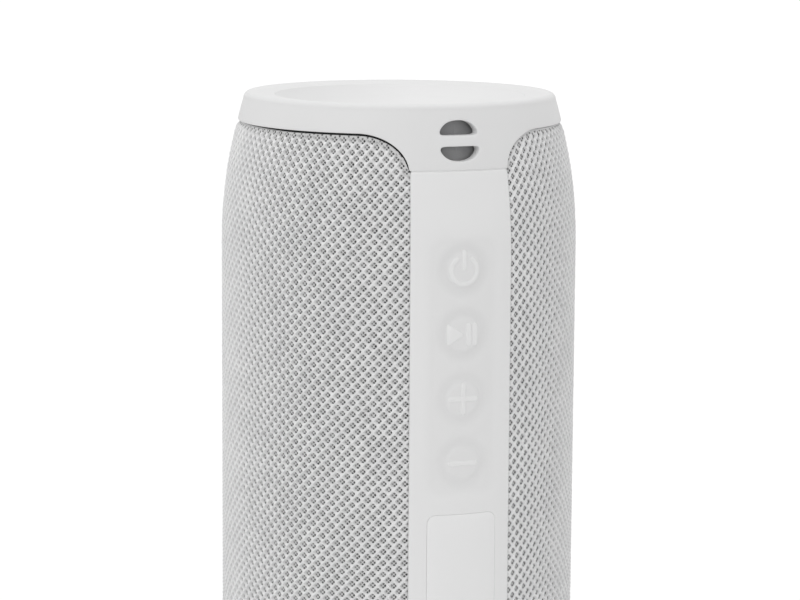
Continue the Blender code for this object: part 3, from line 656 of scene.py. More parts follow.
def bowl_material():
    """White plastic with painted shade: darker towards the rim of the bowl and on its left as the
    camera sees it.
    """
    material, tree, shader = new_material("bowl_white", grey(0.79), roughness=0.45)
    per_radius = 1000.0 / 25.0      # metres to shares of a 25 mm radius
    axes = separate(tree, coords(tree))
    along_x = calc(tree, "MULTIPLY", axes["X"], math.cos(VIEW_ANGLE) * per_radius)
    along_y = calc(tree, "MULTIPLY", axes["Y"], math.sin(VIEW_ANGLE) * per_radius)
    side = calc(tree, "ADD", along_x, along_y)
    flat = vector_calc(tree, "MULTIPLY", coords(tree), (per_radius, per_radius, 0.0))
    rim_share = remap(tree, vector_calc(tree, "LENGTH", flat), source=(0.15, 1.0))
    side_share = remap(tree, side, source=(-1.0, 0.1), target=(1.0, 0.0))
    # painted shade: the colour darkens towards the rim and on the bowl's left as the camera sees
    # it
    rim_shade = calc(tree, "MULTIPLY", rim_share, 0.35)
    left_shade = calc(tree, "MULTIPLY", side_share, 0.75)
    both = calc(tree, "ADD", rim_shade, left_shade)
    colour = mix_colour(tree, both, grey(0.812), grey(0.712))
    feed(shader, {"Base Color": colour, "Specular IOR Level": 0.35})
    fine = noise(tree, scale=2600.0, detail=3.0, roughness=0.6)
    bump(tree, shader, fine, strength=0.35, distance_mm=0.03)
    return material


SHELL = shell_material()
STRIP = strip_material()
# black rubber for the seals, and for the black band in the gap under each lip, a dark sheet that
# stands for the shadow there: painted shadow
SEAL_AND_GAP_SHADOW = moulded("seal_rubber_and_gap_shadow", grey(0.02), roughness=0.8)
KNIT = knit_material()
BACKING = backing_material()
LINER = moulded("pocket_grey", (0.50, 0.50, 0.505), roughness=0.7)
BOWL = bowl_material()

# looks of the frame's own parts, by material slot
LOOKS = {
    "shell": SHELL,
    "soft_strip": STRIP,
    "housing_shell": moulded("inner_grey", (0.34, 0.34, 0.345), roughness=0.55),
    "inner_plastic": moulded("inner_black", (0.025, 0.025, 0.027), roughness=0.5),
    "seal": SEAL_AND_GAP_SHADOW,
    "steel": brushed("steel_satin", (0.6, 0.6, 0.62), roughness=0.32),
    "board": moulded(
        "board_green", (0.02, 0.13, 0.06), roughness=0.35, grain=0.4, tint=0.2, scale=900.0),
    "chip": moulded("chip_black", (0.015, 0.015, 0.016), roughness=0.45),
    "cell_wrap": moulded("cell_wrap", (0.05, 0.17, 0.40), roughness=0.3, grain=0.2, tint=0.05),
    "magnet": moulded("magnet_grey", (0.12, 0.12, 0.13), roughness=0.55),
    "cone": moulded(
        "cone_grey", (0.05, 0.05, 0.055), roughness=0.7, grain=2.0, tint=0.2, scale=1500.0),
    "copper": brushed("copper", (0.72, 0.33, 0.15), roughness=0.35),
    "lens": moulded("led_lens", (0.85, 0.9, 0.95), roughness=0.2, grain=0.1),
    "can": brushed("aluminium_can", (0.5, 0.5, 0.52), roughness=0.35),
    "wire": moulded("wire_red", (0.5, 0.03, 0.02), roughness=0.45, grain=0.3),
    "wire_black": moulded("wire_black", grey(0.03), roughness=0.45, grain=0.3),
}


def dress_frame_parts():
    for part in frame["record"]["subparts"]:
        look = LOOKS.get(part["material_slot"])
        if look is not None:
            materials = frame["nodes"][part["node"]].data.materials
            materials.clear()
            materials.append(look)


# ---- end caps ------------------------------------------------------------------------
JOIN_DEPTH, JOIN_R = 1.7, 31.82     # ring where the crown meets the wall
RECESS_R = 25.2
# (radius, depth) from inside the recess over the crown to the wall
CROWN = [
    (RECESS_R, 2.4), (RECESS_R, 1.2), (RECESS_R, 0.5), (RECESS_R, 0.15), (25.45, 0.07),
    (25.9, 0.0), (26.6, -0.09), (27.5, -0.19), (28.6, -0.31), (29.5, -0.40), (30.05, -0.44),
    (30.4, -0.45), (30.78, -0.37), (31.12, -0.17), (31.38, 0.14), (31.50, 0.44), (31.57, 0.80),
    (31.69, 1.25), (JOIN_R, JOIN_DEPTH),
]
# (radius, depth) back inside, from the wall to the recess
CROWN_INSIDE = [(JOIN_R - CAP_WALL, JOIN_DEPTH), (28.6, 1.8), (27.3, 1.95), (26.2, 2.5)]
# (depth, radius) of the wall above the lip
WALL = np.array([
    (JOIN_DEPTH, JOIN_R), (2.2, 31.98), (3.0, 32.18), (3.8, 32.40), (4.6, 32.60), (LIP, 32.745),
])
CAP_COLUMNS = 288
CAP_EDGE_ROUND, SLOT_EDGE_ROUND = 0.3, 0.28
TAB_CORNER = 0.3
SLOT_HALF_WIDTH, SLOT_HEIGHT = 4.05, 2.85
UPPER_SLOT_DEPTH, LOWER_SLOT_DEPTH = 5.54, 7.63     # of the facing straight edges


def spline(stations):
    """Catmull-Rom curve through the stations, three points to each step."""
    given = np.array(stations, float)
    ends = np.vstack([2 * given[0] - given[1], given, 2 * given[-1] - given[-2]])
    curve = []
    for before, start, end, after in zip(ends, ends[1:], ends[2:], ends[3:]):
        for k in range(3):
            t = k / 3
            curve.append(0.5 * (
                (2 * start) + (end - before) * t
                + (2 * before - 5 * start + 4 * end - after) * t * t
                + (3 * start - before - 3 * end + after) * t ** 3))
    curve.append(ends[-2])
    return np.array(curve)


def cap_wall_r(depth):
    upper = np.interp(depth, WALL[:, 0], WALL[:, 1])
    return np.where(depth < LIP, upper, body_r(EDGE_Z - np.maximum(depth, LIP)))


def slot_loops():
    """The two D-shaped strap slots in the flat layout (u, -depth), clockwise."""
    loops = []
    start = 0.28
    for upper in (True, False):
        angles = [start + (math.pi - 2 * start) * i / 60 for i in range(61)]
        loop = resample(np.array([
            (4.2 * math.copysign(abs(math.cos(a)) ** 0.8, math.cos(a)), 3.6 * math.sin(a) ** 0.8)
            for a in angles
        ]), 0.05)
        # repeated averaging softens the corners
        for _ in range(520):
            loop = 0.25 * np.roll(loop, 1, 0) + 0.5 * loop + 0.25 * np.roll(loop, -1, 0)
        loop = resample(loop, 0.2)
        loop[:, 0] *= SLOT_HALF_WIDTH / np.abs(loop[:, 0]).max()
        tall = (loop[:, 1] - loop[:, 1].min()) * SLOT_HEIGHT / np.ptp(loop[:, 1])
        loop[:, 1] = tall - UPPER_SLOT_DEPTH if upper else -(LOWER_SLOT_DEPTH + tall)
        loops.append(loop[::-1] if upper else loop)
    return loops


def cap_edge():
    """Lower edge of a cap in the flat layout (u, depth), from -180 to 180 degrees."""
    left = [(-180.0 + (180.0 - FILLET_HALF) * i / 130, LIP) for i in range(130)]
    for i in range(71):
        angle = math.pi / 2 * i / 70
        depth = LIP + FILLET_DROP * (1 - math.cos(angle))
        if depth < TAB_END - TAB_CORNER:
            left.append((-(FILLET_HALF - math.sin(angle) * (FILLET_HALF - TAB_HALF)), depth))
    left = [(turn * CAP_MM_PER_DEG, depth) for turn, depth in left]
    tab_u = -TAB_HALF * CAP_MM_PER_DEG - 0.02
    for i in range(5):
        angle = math.pi / 2 * i / 4
        left.append((
            tab_u + TAB_CORNER * (1 - math.cos(angle)),
            TAB_END - TAB_CORNER + TAB_CORNER * math.sin(angle)))
    right = [(-u, depth) for u, depth in reversed(left)]
    start = tab_u + TAB_CORNER
    middle = [(start + (-2 * start) * i / 60, TAB_END) for i in range(1, 60)]
    return np.array(left + middle + right)


def wall_grid():
    """Staggered points over the flat layout of a cap wall."""
    step, row_step = 1.1, 0.85
    left = -180 * CAP_MM_PER_DEG
    columns = int(360 * CAP_MM_PER_DEG / step) + 1
    grid = []
    z = -JOIN_DEPTH - 0.8
    row = 0
    while z > -TAB_END:
        grid.extend((left + (i + 0.5 * (row % 2)) * step, z) for i in range(columns))
        z -= row_step
        row += 1
    grid = np.array(grid)
    return grid[np.abs(grid[:, 0]) < 180 * CAP_MM_PER_DEG - 0.6]


def cap_wall(turns, slots):
    """Wall with its tab, rounded lower edge and slots: vertices and faces."""
    edge = cap_edge() * (1, -1)
    inwards = left_normals(edge)
    inwards[0] = inwards[-1] = (0.0, 1.0)
    top = np.stack([turns * CAP_MM_PER_DEG, np.full(len(turns), -JOIN_DEPTH)], axis=1)
    lines = [
        (edge + inwards * moved, drop, False) for moved, drop in rim_steps(CAP_EDGE_ROUND)
    ]
    last_row = lines[-1][0]
    lines.append((top, 0.0, False))
    share = np.linspace(0, 1, 4)[:, None]
    for side in (0, -1):
        lines.append((last_row[side] * (1 - share) + top[side] * share, 0.0, False))
    holes = slot_loops() if slots else []
    for hole in holes:
        lines += rim(hole, SLOT_EDGE_ROUND)
    outline = np.vstack([edge, top[::-1]])
    grid = keep_clear(wall_grid(), [outline], 0.55, outline)
    grid = keep_clear(grid, holes, 0.5, outline, holes)
    flat, drop, tris = triangulate(lines, grid, outline, holes)
    depth, turn = -flat[:, 1], flat[:, 0] / CAP_MM_PER_DEG
    front = polar(turn, cap_wall_r(depth) - drop, EDGE_Z - depth)
    back = polar(turn, cap_wall_r(depth) - CAP_WALL, EDGE_Z - depth)
    # no wall along the joining row, nor across the back seam
    border = border_of(tris)
    middle = 0.5 * (flat[border[:, 0]] + flat[border[:, 1]])
    below = middle[:, 1] < -JOIN_DEPTH - 0.01
    border = border[below & (np.abs(middle[:, 0]) < 180 * CAP_MM_PER_DEG - 0.01)]
    verts, faces, _ = thick(tris, border, front, back)
    return verts, faces


def build_cap(end):
    """Closed ring: crown turned about the axis, wall from its flat layout."""
    top = end == "top"
    turns = np.linspace(-180.0, 180.0, CAP_COLUMNS + 1)
    wall_points, (wall_tris, wall_quads) = cap_wall(turns, slots=top)
    crown = spline(CROWN)
    if not top:
        # the end the speaker stands on has a crest twice as high
        crown[:, 1] = np.where(crown[:, 1] < 0, 2.0 * crown[:, 1], crown[:, 1])
    profile = np.vstack([crown, CROWN_INSIDE])
    rings = np.stack([polar(turns[:-1], radius, EDGE_Z - depth) for radius, depth in profile])
    index = np.arange(len(profile) * CAP_COLUMNS).reshape(len(profile), -1)
    # the wall takes the place of the band between the crown and the inside
    quads = np.vstack([
        ring_quads(index[i], index[(i + 1) % len(profile)])
        for i in range(len(profile))
        if i != len(crown) - 1
    ]) + len(wall_points)
    verts = at_end(np.vstack([wall_points, rings.reshape(-1, 3)]), top)
    faces = [wall_tris, np.vstack([wall_quads, quads])]
    cap = solid(f"{end}_cap_shell", verts, faces, SHELL, sharp=40, weld=True)
    dress(cap, f"{end}_cap", rides="housing")


def build_slot_liner():
    """Curved floor of the pocket behind the strap slots."""
    turns = np.linspace(-10.5, 10.5, 22)
    low, high = EDGE_Z - 11.9, EDGE_Z - 2.0
    outer_r, inner_r = 28.9, 28.1
    section = [(outer_r, low), (outer_r, high), (inner_r, high), (inner_r, low)]
    lines = [polar(turns, radius, z) for radius, z in section]
    dress(swept_bar("strap_pocket_floor", lines, LINER), "top_cap", rides="housing")


# ---- key symbols: signed distances to shapes, about the key's middle ------------------
def stroke(points, start, end, half_width):
    start, end = np.array(start), np.array(end)
    run = end - start
    share = np.clip(((points - start) @ run) / (run @ run), 0.0, 1.0)
    return np.linalg.norm(points - (start + share[:, None] * run), axis=1) - half_width


def open_ring(points, centre, radius, gap_deg, half_width):
    """Ring with a gap of gap_deg to either side of straight up, and round ends."""
    local = points - np.array(centre)
    angle = np.degrees(np.arctan2(local[:, 0], local[:, 1]))
    gap = math.radians(gap_deg)
    ends = np.minimum(*(
        np.linalg.norm(local - (side * radius * math.sin(gap), radius * math.cos(gap)), axis=1)
        for side in (-1, 1)
    ))
    ring = np.abs(np.linalg.norm(local, axis=1) - radius)
    return np.where(np.abs(angle) < gap_deg, ends, ring) - half_width


def rounded_polygon(points, corners, radius):
    """Convex polygon with counter-clockwise corners, grown by a corner radius."""
    corners = np.array(corners, float)
    within = np.full(len(points), -1e9)
    near = np.full(len(points), 1e9)
    for start, end in zip(corners, np.roll(corners, -1, axis=0)):
        run = end - start
        side = (points - start) @ (np.array([run[1], -run[0]]) / np.linalg.norm(run))
        within = np.maximum(within, side)
        near = np.minimum(near, stroke(points, start, end, 0.0))
    return np.where(within <= 0, within, near) - radius


def power_symbol(points):
    ring = open_ring(points, centre=(0.0, -0.15), radius=2.665, gap_deg=36.0, half_width=0.405)
    return np.minimum(ring, stroke(points, (0.0, 0.35), (0.0, 3.45), half_width=0.405))


def play_symbol(points):
    triangle = [(-3.08, -1.72), (-0.45, 0.0), (-3.08, 1.72)]
    bars = [stroke(points, (x, -1.82), (x, 1.74), half_width=0.46) for x in (1.0, 2.28)]
    return np.minimum.reduce([rounded_polygon(points, triangle, radius=0.28), *bars])


def minus_symbol(points):
    return stroke(points, (-2.65, 0.0), (2.65, 0.0), half_width=0.42)


def plus_symbol(points):
    upright = stroke(points, (0.0, -2.65), (0.0, 2.65), half_width=0.42)
    return np.minimum(minus_symbol(points), upright)


SYMBOLS = {
    "power": power_symbol,
    "play": play_symbol,
    "volume_up": plus_symbol,
    "volume_down": minus_symbol,
}

# ---- control strip and keys ----------------------------------------------------------
PANEL_HALF, PANEL_LOW, PANEL_HIGH, PANEL_CORNER = 6.9, 98.8, 148.9, 2.6
PANEL_DEPTH, MOAT_DEPTH, SYMBOL_RISE = 0.24, 0.22, 0.14
# ring round each key: radius of its deepest line and widths to either side
MOAT_R, MOAT_INNER, MOAT_OUTER = 3.95, 1.35, 2.4
# how much painted shade each hollow adds to the shade value; a symbol stands out lighter
PANEL_SHADE, MOAT_SHADE, KEY_SHADE, SYMBOL_SHADE = 0.45, 0.8, 0.3, -0.15
VOLUME_KEY_SHARE = 0.72     # the volume keys are shaded less


def panel_share(flat):
    """1 inside the shallow panel that holds the keys and 0 outside, with soft edges."""
    mid = 0.5 * (PANEL_LOW + PANEL_HIGH)
    over_x = np.abs(flat[:, 0]) - (PANEL_HALF - PANEL_CORNER)
    over_z = np.abs(flat[:, 1] - mid) - (0.5 * (PANEL_HIGH - PANEL_LOW) - PANEL_CORNER)
    outside = np.hypot(np.maximum(over_x, 0), np.maximum(over_z, 0))
    distance = outside + np.minimum(np.maximum(over_x, over_z), 0) - PANEL_CORNER
    return 1.0 - smooth((distance + 0.9) / 1.8)


def moat(distance):
    """1 at the ring round a key, falling smoothly to its middle and to the panel."""
    inner, outer = (MOAT_R - distance) / MOAT_INNER, (distance - MOAT_R) / MOAT_OUTER
    return 1.0 - smooth(np.where(distance < MOAT_R, inner, outer))


def proud_lift(flat):
    """How far the strip and the flap stand proud of the plain body."""
    across = 1.0 - np.clip(np.abs(flat[:, 0]) / 10.6, 0, 1) ** 3
    return PROUD * across * smooth((flat[:, 1] - PROUD_FROM) / 10.0)


def relief(flat):
    """Height of the strip over the plain body and its painted shade, at flat positions (u, z)."""
    inside = panel_share(flat)
    height = proud_lift(flat) * smooth((158.5 - flat[:, 1]) / 9.0) - PANEL_DEPTH * inside
    shade = PANEL_SHADE * inside
    for key, key_z in KEYS.items():
        local = flat - np.array([0.0, key_z])
        distance = np.linalg.norm(local, axis=1)
        ring = moat(distance)
        height -= MOAT_DEPTH * ring
        strength = 1.0 if key in ("power", "play") else VOLUME_KEY_SHARE
        middle = (distance < MOAT_R) * (1.0 - ring)
        shade += strength * (MOAT_SHADE * ring + KEY_SHADE * middle)
        symbol = smooth((0.10 - SYMBOLS[key](local)) / 0.20) * (distance < 4.6)
        height += SYMBOL_RISE * symbol
        shade = shade * (1.0 - symbol) + SYMBOL_SHADE * symbol
    return height, shade


def flap_shape(grow):
    """Outline of the flap: round corners above, tight ones at the hinge to swing past."""
    sizes = (FLAP_WIDE + grow, FLAP_BOTTOM - grow, FLAP_TOP + grow)
    above = rounded_rect(*sizes, 1.7 + grow)
    below = rounded_rect(*sizes, 0.5 + grow)
    return np.where((above[:, 1] > FLAP_BOTTOM + 10.0)[:, None], above, below)


def key_points():
    """Dense grid on each key, thinning out round it."""
    finer = []
    for key_z in KEYS.values():
        ring = disc_grid(key_z, PAD_R - 0.2, 0.4)
        ring = ring[from_centre(ring, key_z) > 4.5]
        around = disc_grid(key_z, 6.5, 0.4)
        around = around[from_centre(around, key_z) > PAD_R + 0.25]
        # neighbouring keys' rings almost touch: keep this ring on its own side
        near = np.min([from_centre(around, z) for z in KEYS.values() if z != key_z], axis=0)
        around = around[near > from_centre(around, key_z) + 0.1]
        finer += [disc_grid(key_z, 4.35, 0.125), ring, around]
    return np.vstack(finer)


def strip_sheet():
    """Flat sheet of the strip with the flap's opening, two small round holes and the pads."""
    sizes = (STRIP_HALF_WIDTH, STRIP_LOW_Z, STRIP_TOP_Z)
    outer = resample(rounded_rect(*sizes, 0.3, 8), 0.55)
    holes = [
        resample(flap_shape(GROOVE), 0.4)[::-1],
        circle_points(43.0, 0.5, 18)[::-1],
        circle_points(36.0, 0.35, 16)[::-1],
    ]
    lines = rim(outer, 0.35)
    for hole, width in zip(holes, (0.07, 0.12, 0.1)):
        lines += rim(hole, width)
    pads = [circle_points(key_z, PAD_R, 96) for key_z in KEYS.values()]
    lines += [(pad, 0.0, True) for pad in pads]
    plain = keep_clear(
        hex_grid(*sizes, 0.95), [outer] + holes + pads, 0.6, outer, holes + pads)
    finer = key_points()
    distance_to = nearest_finder(finer)
    plain = np.array([point for point in plain if distance_to(point) > 0.45])
    return triangulate(lines, np.vstack([finer, plain]), outer, holes)


def strip_piece(name, tris, front, back, front_normals, shade):
    verts, faces, used = thick(tris, border_of(tris), front, back)
    obj = mesh_object(name, verts, faces, STRIP, sharp=35)
    # normals: shared ones in front, the mesh's own behind and on the walls
    mesh = obj.data
    corner = np.empty(len(mesh.loops), np.int32)
    mesh.loops.foreach_get("vertex_index", corner)
    normals = np.empty(len(mesh.loops) * 3, np.float32)
    mesh.corner_normals.foreach_get("vector", normals)
    normals = normals.reshape(-1, 3)
    sizes = np.empty(len(mesh.polygons), np.int32)
    mesh.polygons.foreach_get("loop_total", sizes)
    is_front = np.repeat(np.arange(len(sizes)) < len(tris), sizes)
    normals[is_front] = front_normals[used][corner[is_front]]
    mesh.normals_split_custom_set(normals.tolist())
    add_shade(obj, np.concatenate([shade[used], np.zeros(len(used))]))
    return obj


def build_strip():
    """Control strip and its four key pads, cut from one sheet."""
    flat, drop, tris = strip_sheet()
    height, shade = relief(flat)
    front = on_body(flat, drop - height)
    # the walls of the flap's opening run straight back, so the open flap clears them
    near_axis = 1.0 - smooth((np.abs(flat[:, 0]) - 7.6) / 1.2)
    radius = body_r(flat[:, 1])
    ratio = 1.0 + near_axis * (radius / (radius - STRIP_WALL) - 1.0)
    back_sine = np.sin(np.radians(flat[:, 0] / MM_PER_DEG)) * ratio
    back_u = np.degrees(np.arcsin(back_sine)) * MM_PER_DEG
    back = on_body(np.stack([back_u, flat[:, 1]], axis=1), STRIP_WALL)
    # one set of normals for the whole strip, so that the pads show no seam
    shared = (front, back, vertex_normals(front, tris), shade)
    centre = flat[tris].mean(1)
    owner = np.zeros(len(tris), int)
    for k, key_z in enumerate(KEYS.values()):
        owner[from_centre(centre, key_z) < PAD_R] = k + 1
    body = strip_piece("control_strip_body", tris[owner == 0], *shared)
    dress(body, "control_strip", rides="housing")
    for k, (key, key_z) in enumerate(KEYS.items()):
        pad = strip_piece(f"{key}_key_pad", tris[owner == k + 1], *shared)

        def pad_weight(points):
            across = np.degrees(np.arctan2(points[:, 0], -points[:, 1])) * MM_PER_DEG
            distance = np.hypot(across, points[:, 2] - key_z)
            return 1.0 - smooth((distance - 3.4) / (PAD_R - 0.15 - 3.4))

        blend_from(pad, pad_weight)
        dress(pad, f"{key}_button")


# ---- port flap -----------------------------------------------------------------------
PLUG_INSET, PLUG_SLOPE = 1.05, 0.25     # where the thick plug behind the flap starts
PLUG_LOW_Z = PIVOT_Z + 2.4
NOSE_R = 1.85                           # rounding of the flap below its hinge


def build_flap():
    """Crowned plate with a thin rim and a thicker plug behind it."""
    outline = flap_shape(0.0)
    loop = resample(outline, 0.4)
    coarse = resample(outline, 0.6)
    steps = [inset(coarse, PLUG_INSET), inset(coarse, PLUG_INSET + PLUG_SLOPE)]
    grid = hex_grid(FLAP_WIDE, FLAP_BOTTOM, FLAP_TOP, 0.9)
    grid = keep_clear(grid, [loop] + steps, 0.45, loop)
    lines = rim(loop, 0.08, 5) + [(step, 0.0, True) for step in steps]
    flat, drop, tris = triangulate(lines, grid, loop, [])
    x, z = flat[:, 0], flat[:, 1]
    mid_z, half_z = 0.5 * (FLAP_TOP + FLAP_BOTTOM), 0.5 * (FLAP_TOP - FLAP_BOTTOM)
    crown = 0.30 * np.clip(1 - (x / (FLAP_WIDE + 0.1)) ** 6, 0, 1)
    crown *= np.clip(1 - ((z - mid_z) / half_z) ** 14, 0, 1)
    crown *= smooth((z - PLUG_LOW_Z) / 4.0)
    dip = 0.16 * (1.0 - smooth((z - PIVOT_Z - 2.6) / 3.0))
    below = np.clip(PIVOT_Z - z, 0, NOSE_R * 0.98)
    nose = NOSE_R - np.sqrt(NOSE_R * NOSE_R - below * below)
    plug = smooth((loop_distance(flat, loop) - PLUG_INSET) / PLUG_SLOPE)
    back_depth = np.where(z < PLUG_LOW_Z, 1.1, -0.16 + 2.26 * plug * (z > PLUG_LOW_Z))
    front = on_body(flat, drop - crown - proud_lift(flat) + nose + dip)
    back = on_body(flat, back_depth + np.minimum(nose, 0.5))
    verts, faces, _ = thick(tris, border_of(tris), front, back)
    flap = mesh_object("port_flap_cover", verts, faces, STRIP, sharp=35)
    # painted light: a negative shade value makes the flap a little lighter than the strip
    add_shade(flap, np.full(len(verts), -0.45))
    dress(flap, "port_flap", rides="flap")


def build_flap_barrel():
    """Tube round the hinge pin, along X, with eased edges."""
    half_length, inner_r, outer_r, ease = FLAP_HALF - 0.3, 0.58, 1.05, 0.1
    # (x, radius) from end to end
    profile = [
        (-half_length, inner_r), (-half_length, outer_r - ease), (-half_length + ease, outer_r),
        (half_length - ease, outer_r), (half_length, outer_r - ease), (half_length, inner_r),
    ]
    angle = 2 * math.pi * np.arange(32) / 32
    rings = np.array([
        np.stack([
            np.full(32, x),
            PIVOT_Y + radius * np.cos(angle),
            PIVOT_Z + radius * np.sin(angle),
        ], axis=1)
        for x, radius in profile
    ]) * MM
    index = np.arange(len(profile) * 32).reshape(-1, 32)
    quads = np.vstack([ring_quads(*pair) for pair in zip(index, np.roll(index, -1, axis=0))])
    barrel = solid("port_flap_barrel", rings, quads, STRIP, sharp=40)
    dress(barrel, "port_flap", rides="flap")


def build_flap_seat():
    """Ledge behind the flap's rim, on three sides."""
    wide, high = FLAP_WIDE + GROOVE - 0.03, FLAP_TOP + GROOVE - 0.03
    path = resample(rounded_rect(wide, FLAP_BOTTOM - GROOVE, high, 1.75), 0.5)
    start = int(np.argmin(np.hypot(path[:, 0] - path[:, 0].max(), path[:, 1] - (PIVOT_Z + 4.5))))
    path = np.roll(path, -start, axis=0)
    path = path[path[:, 1] > PIVOT_Z + 4.0]
    inner = path + 0.85 * left_normals(path)
    lift = PROUD * 0.6 * smooth((path[:, 1] - PROUD_FROM - 2.0) / 10.0)
    near, far = 0.10, 1.5       # depths of its two faces
    section = [(path, near), (inner, near), (inner, far), (path, far)]
    lines = [on_body(line, depth - lift) for line, depth in section]
    seat = swept_bar("flap_seat", lines, STRIP)
    dress(seat, "control_strip", rides="housing")


def build_seam(end, seam_z):
    """Backing strip behind the seam between the control strip and a cap."""
    across = np.linspace(-STRIP_HALF_WIDTH + 0.25, STRIP_HALF_WIDTH - 0.25, 25)
    section = [(-0.35, 0.2), (0.35, 0.2), (0.35, 0.8), (-0.35, 0.8)]     # (z offset, depth)
    lines = [
        on_body(np.stack([across, np.full(25, seam_z + offset)], axis=1), depth)
        for offset, depth in section
    ]
    filler = swept_bar(f"strip_{end}_seam", lines, STRIP)
    dress(filler, "control_strip", rides="housing")


# ---- fabric --------------------------------------------------------------------------
LIP_GAP, LIP_GAP_EXTRA = 0.16, 0.34
# strength of the painted shade on one side of each hole
HOLE_SHADE_SHARE = 0.62
# rings inside each hole's diamond: (share of the circle, its radius, depth, painted shade)
HOLE_RINGS = [
    (0.34, 0.60, -0.13, 0.42), (0.66, 0.575, -0.30, 0.58),
    (0.92, 0.555, -0.46, 0.6), (1.0, 0.54, -0.60, 0.6),
]
# the cloth turns inwards at a lip: (distance past the gap, how far in)
LIP_ROLL = np.array([
    (-1.5, 2.2), (-0.1, 2.2), (0.02, 1.0), (0.2, 0.62), (0.45, 0.34), (0.75, 0.16), (1.1, 0.05),
    (1.5, 0.0),
])


def lip_curve():
    """Lower edge of the top cap beside the tab, as flat points (u, z) at the lips' scale."""
    edge = cap_edge()
    turn = edge[:, 0] / CAP_MM_PER_DEG
    curve = np.stack([turn * LIP_MM_PER_DEG, EDGE_Z - edge[:, 1]], axis=1)
    return curve[np.abs(turn) > TAB_HALF - 0.05]


def gap_widening(turn):
    """1 where the gap between lip and fabric is widest, left of the strip; 0 where narrow."""
    turn = signed_turn(turn)
    return smooth((-turn - 8.0) / 4.0) * (1.0 - smooth((-turn - 40.0) / 75.0))


def lip_gap(turn):
    return LIP_GAP + LIP_GAP_EXTRA * gap_widening(turn)


def hole_centres():
    """Middles of the holes as (turn, z), before the rows are slanted."""
    rows = int(HEIGHT / PITCH_Z) + 4
    centres = []
    for j in range(-rows, rows + 1):
        # two sets of holes, half a cell apart both ways
        shift = LATTICE_SHIFT + (0.0 if j % 2 else 0.5)
        for i in range(-2, COLUMNS + 2):
            if abs(i + shift - COLUMNS / 2) < COLUMNS / 2 + 0.55:
                centres.append((i + shift, j))
    centres = np.array(centres, float)
    turn = SLEEVE_EDGE + centres[:, 0] * PITCH_TURN
    flat_z = LATTICE_Z + centres[:, 1] * PITCH_Z / 2
    z = flat_z + row_rise(turn)
    keep = np.minimum(z, HEIGHT - z) - CREST > lip_at(turn) - 0.9
    return turn[keep], flat_z[keep]


def hole_side_shade(turn, angle):
    """Weights of painted shade round each hole: on its left, or on its right round the right of
    the body.
    """
    signed = signed_turn(turn)
    to_right = (smooth((signed - 10.0) / 40.0) * (signed < 150.0))[:, None]
    tilt = math.radians(10)
    left = np.clip(-np.cos(angle + tilt), 0, 1)[None, :] ** 1.3
    right = np.clip(np.cos(angle - tilt), 0, 1)[None, :] ** 1.3
    return (1.0 - to_right) * left + to_right * right


def lip_distance(turn, z):
    """Distance below the nearer lip, negative under the cap; 9 far from both."""
    lip = lip_curve()
    find = nearest_finder(np.vstack([
        lip[:-1] * (1 - share) + lip[1:] * share for share in (0.0, 0.25, 0.5, 0.75)
    ]))
    mirrored_z = np.maximum(z, HEIGHT - z)
    near = np.full(len(z), 9.0)
    pick = mirrored_z > EDGE_Z - 16.0
    query = np.stack([signed_turn(turn) * LIP_MM_PER_DEG, mirrored_z], axis=1)[pick]
    found = np.array([find(point) for point in query])
    below = EDGE_Z - mirrored_z[pick] >= lip_at(turn[pick])
    near[pick] = np.minimum(found, 9.0) * np.where(below, 1.0, -1.0)
    return near


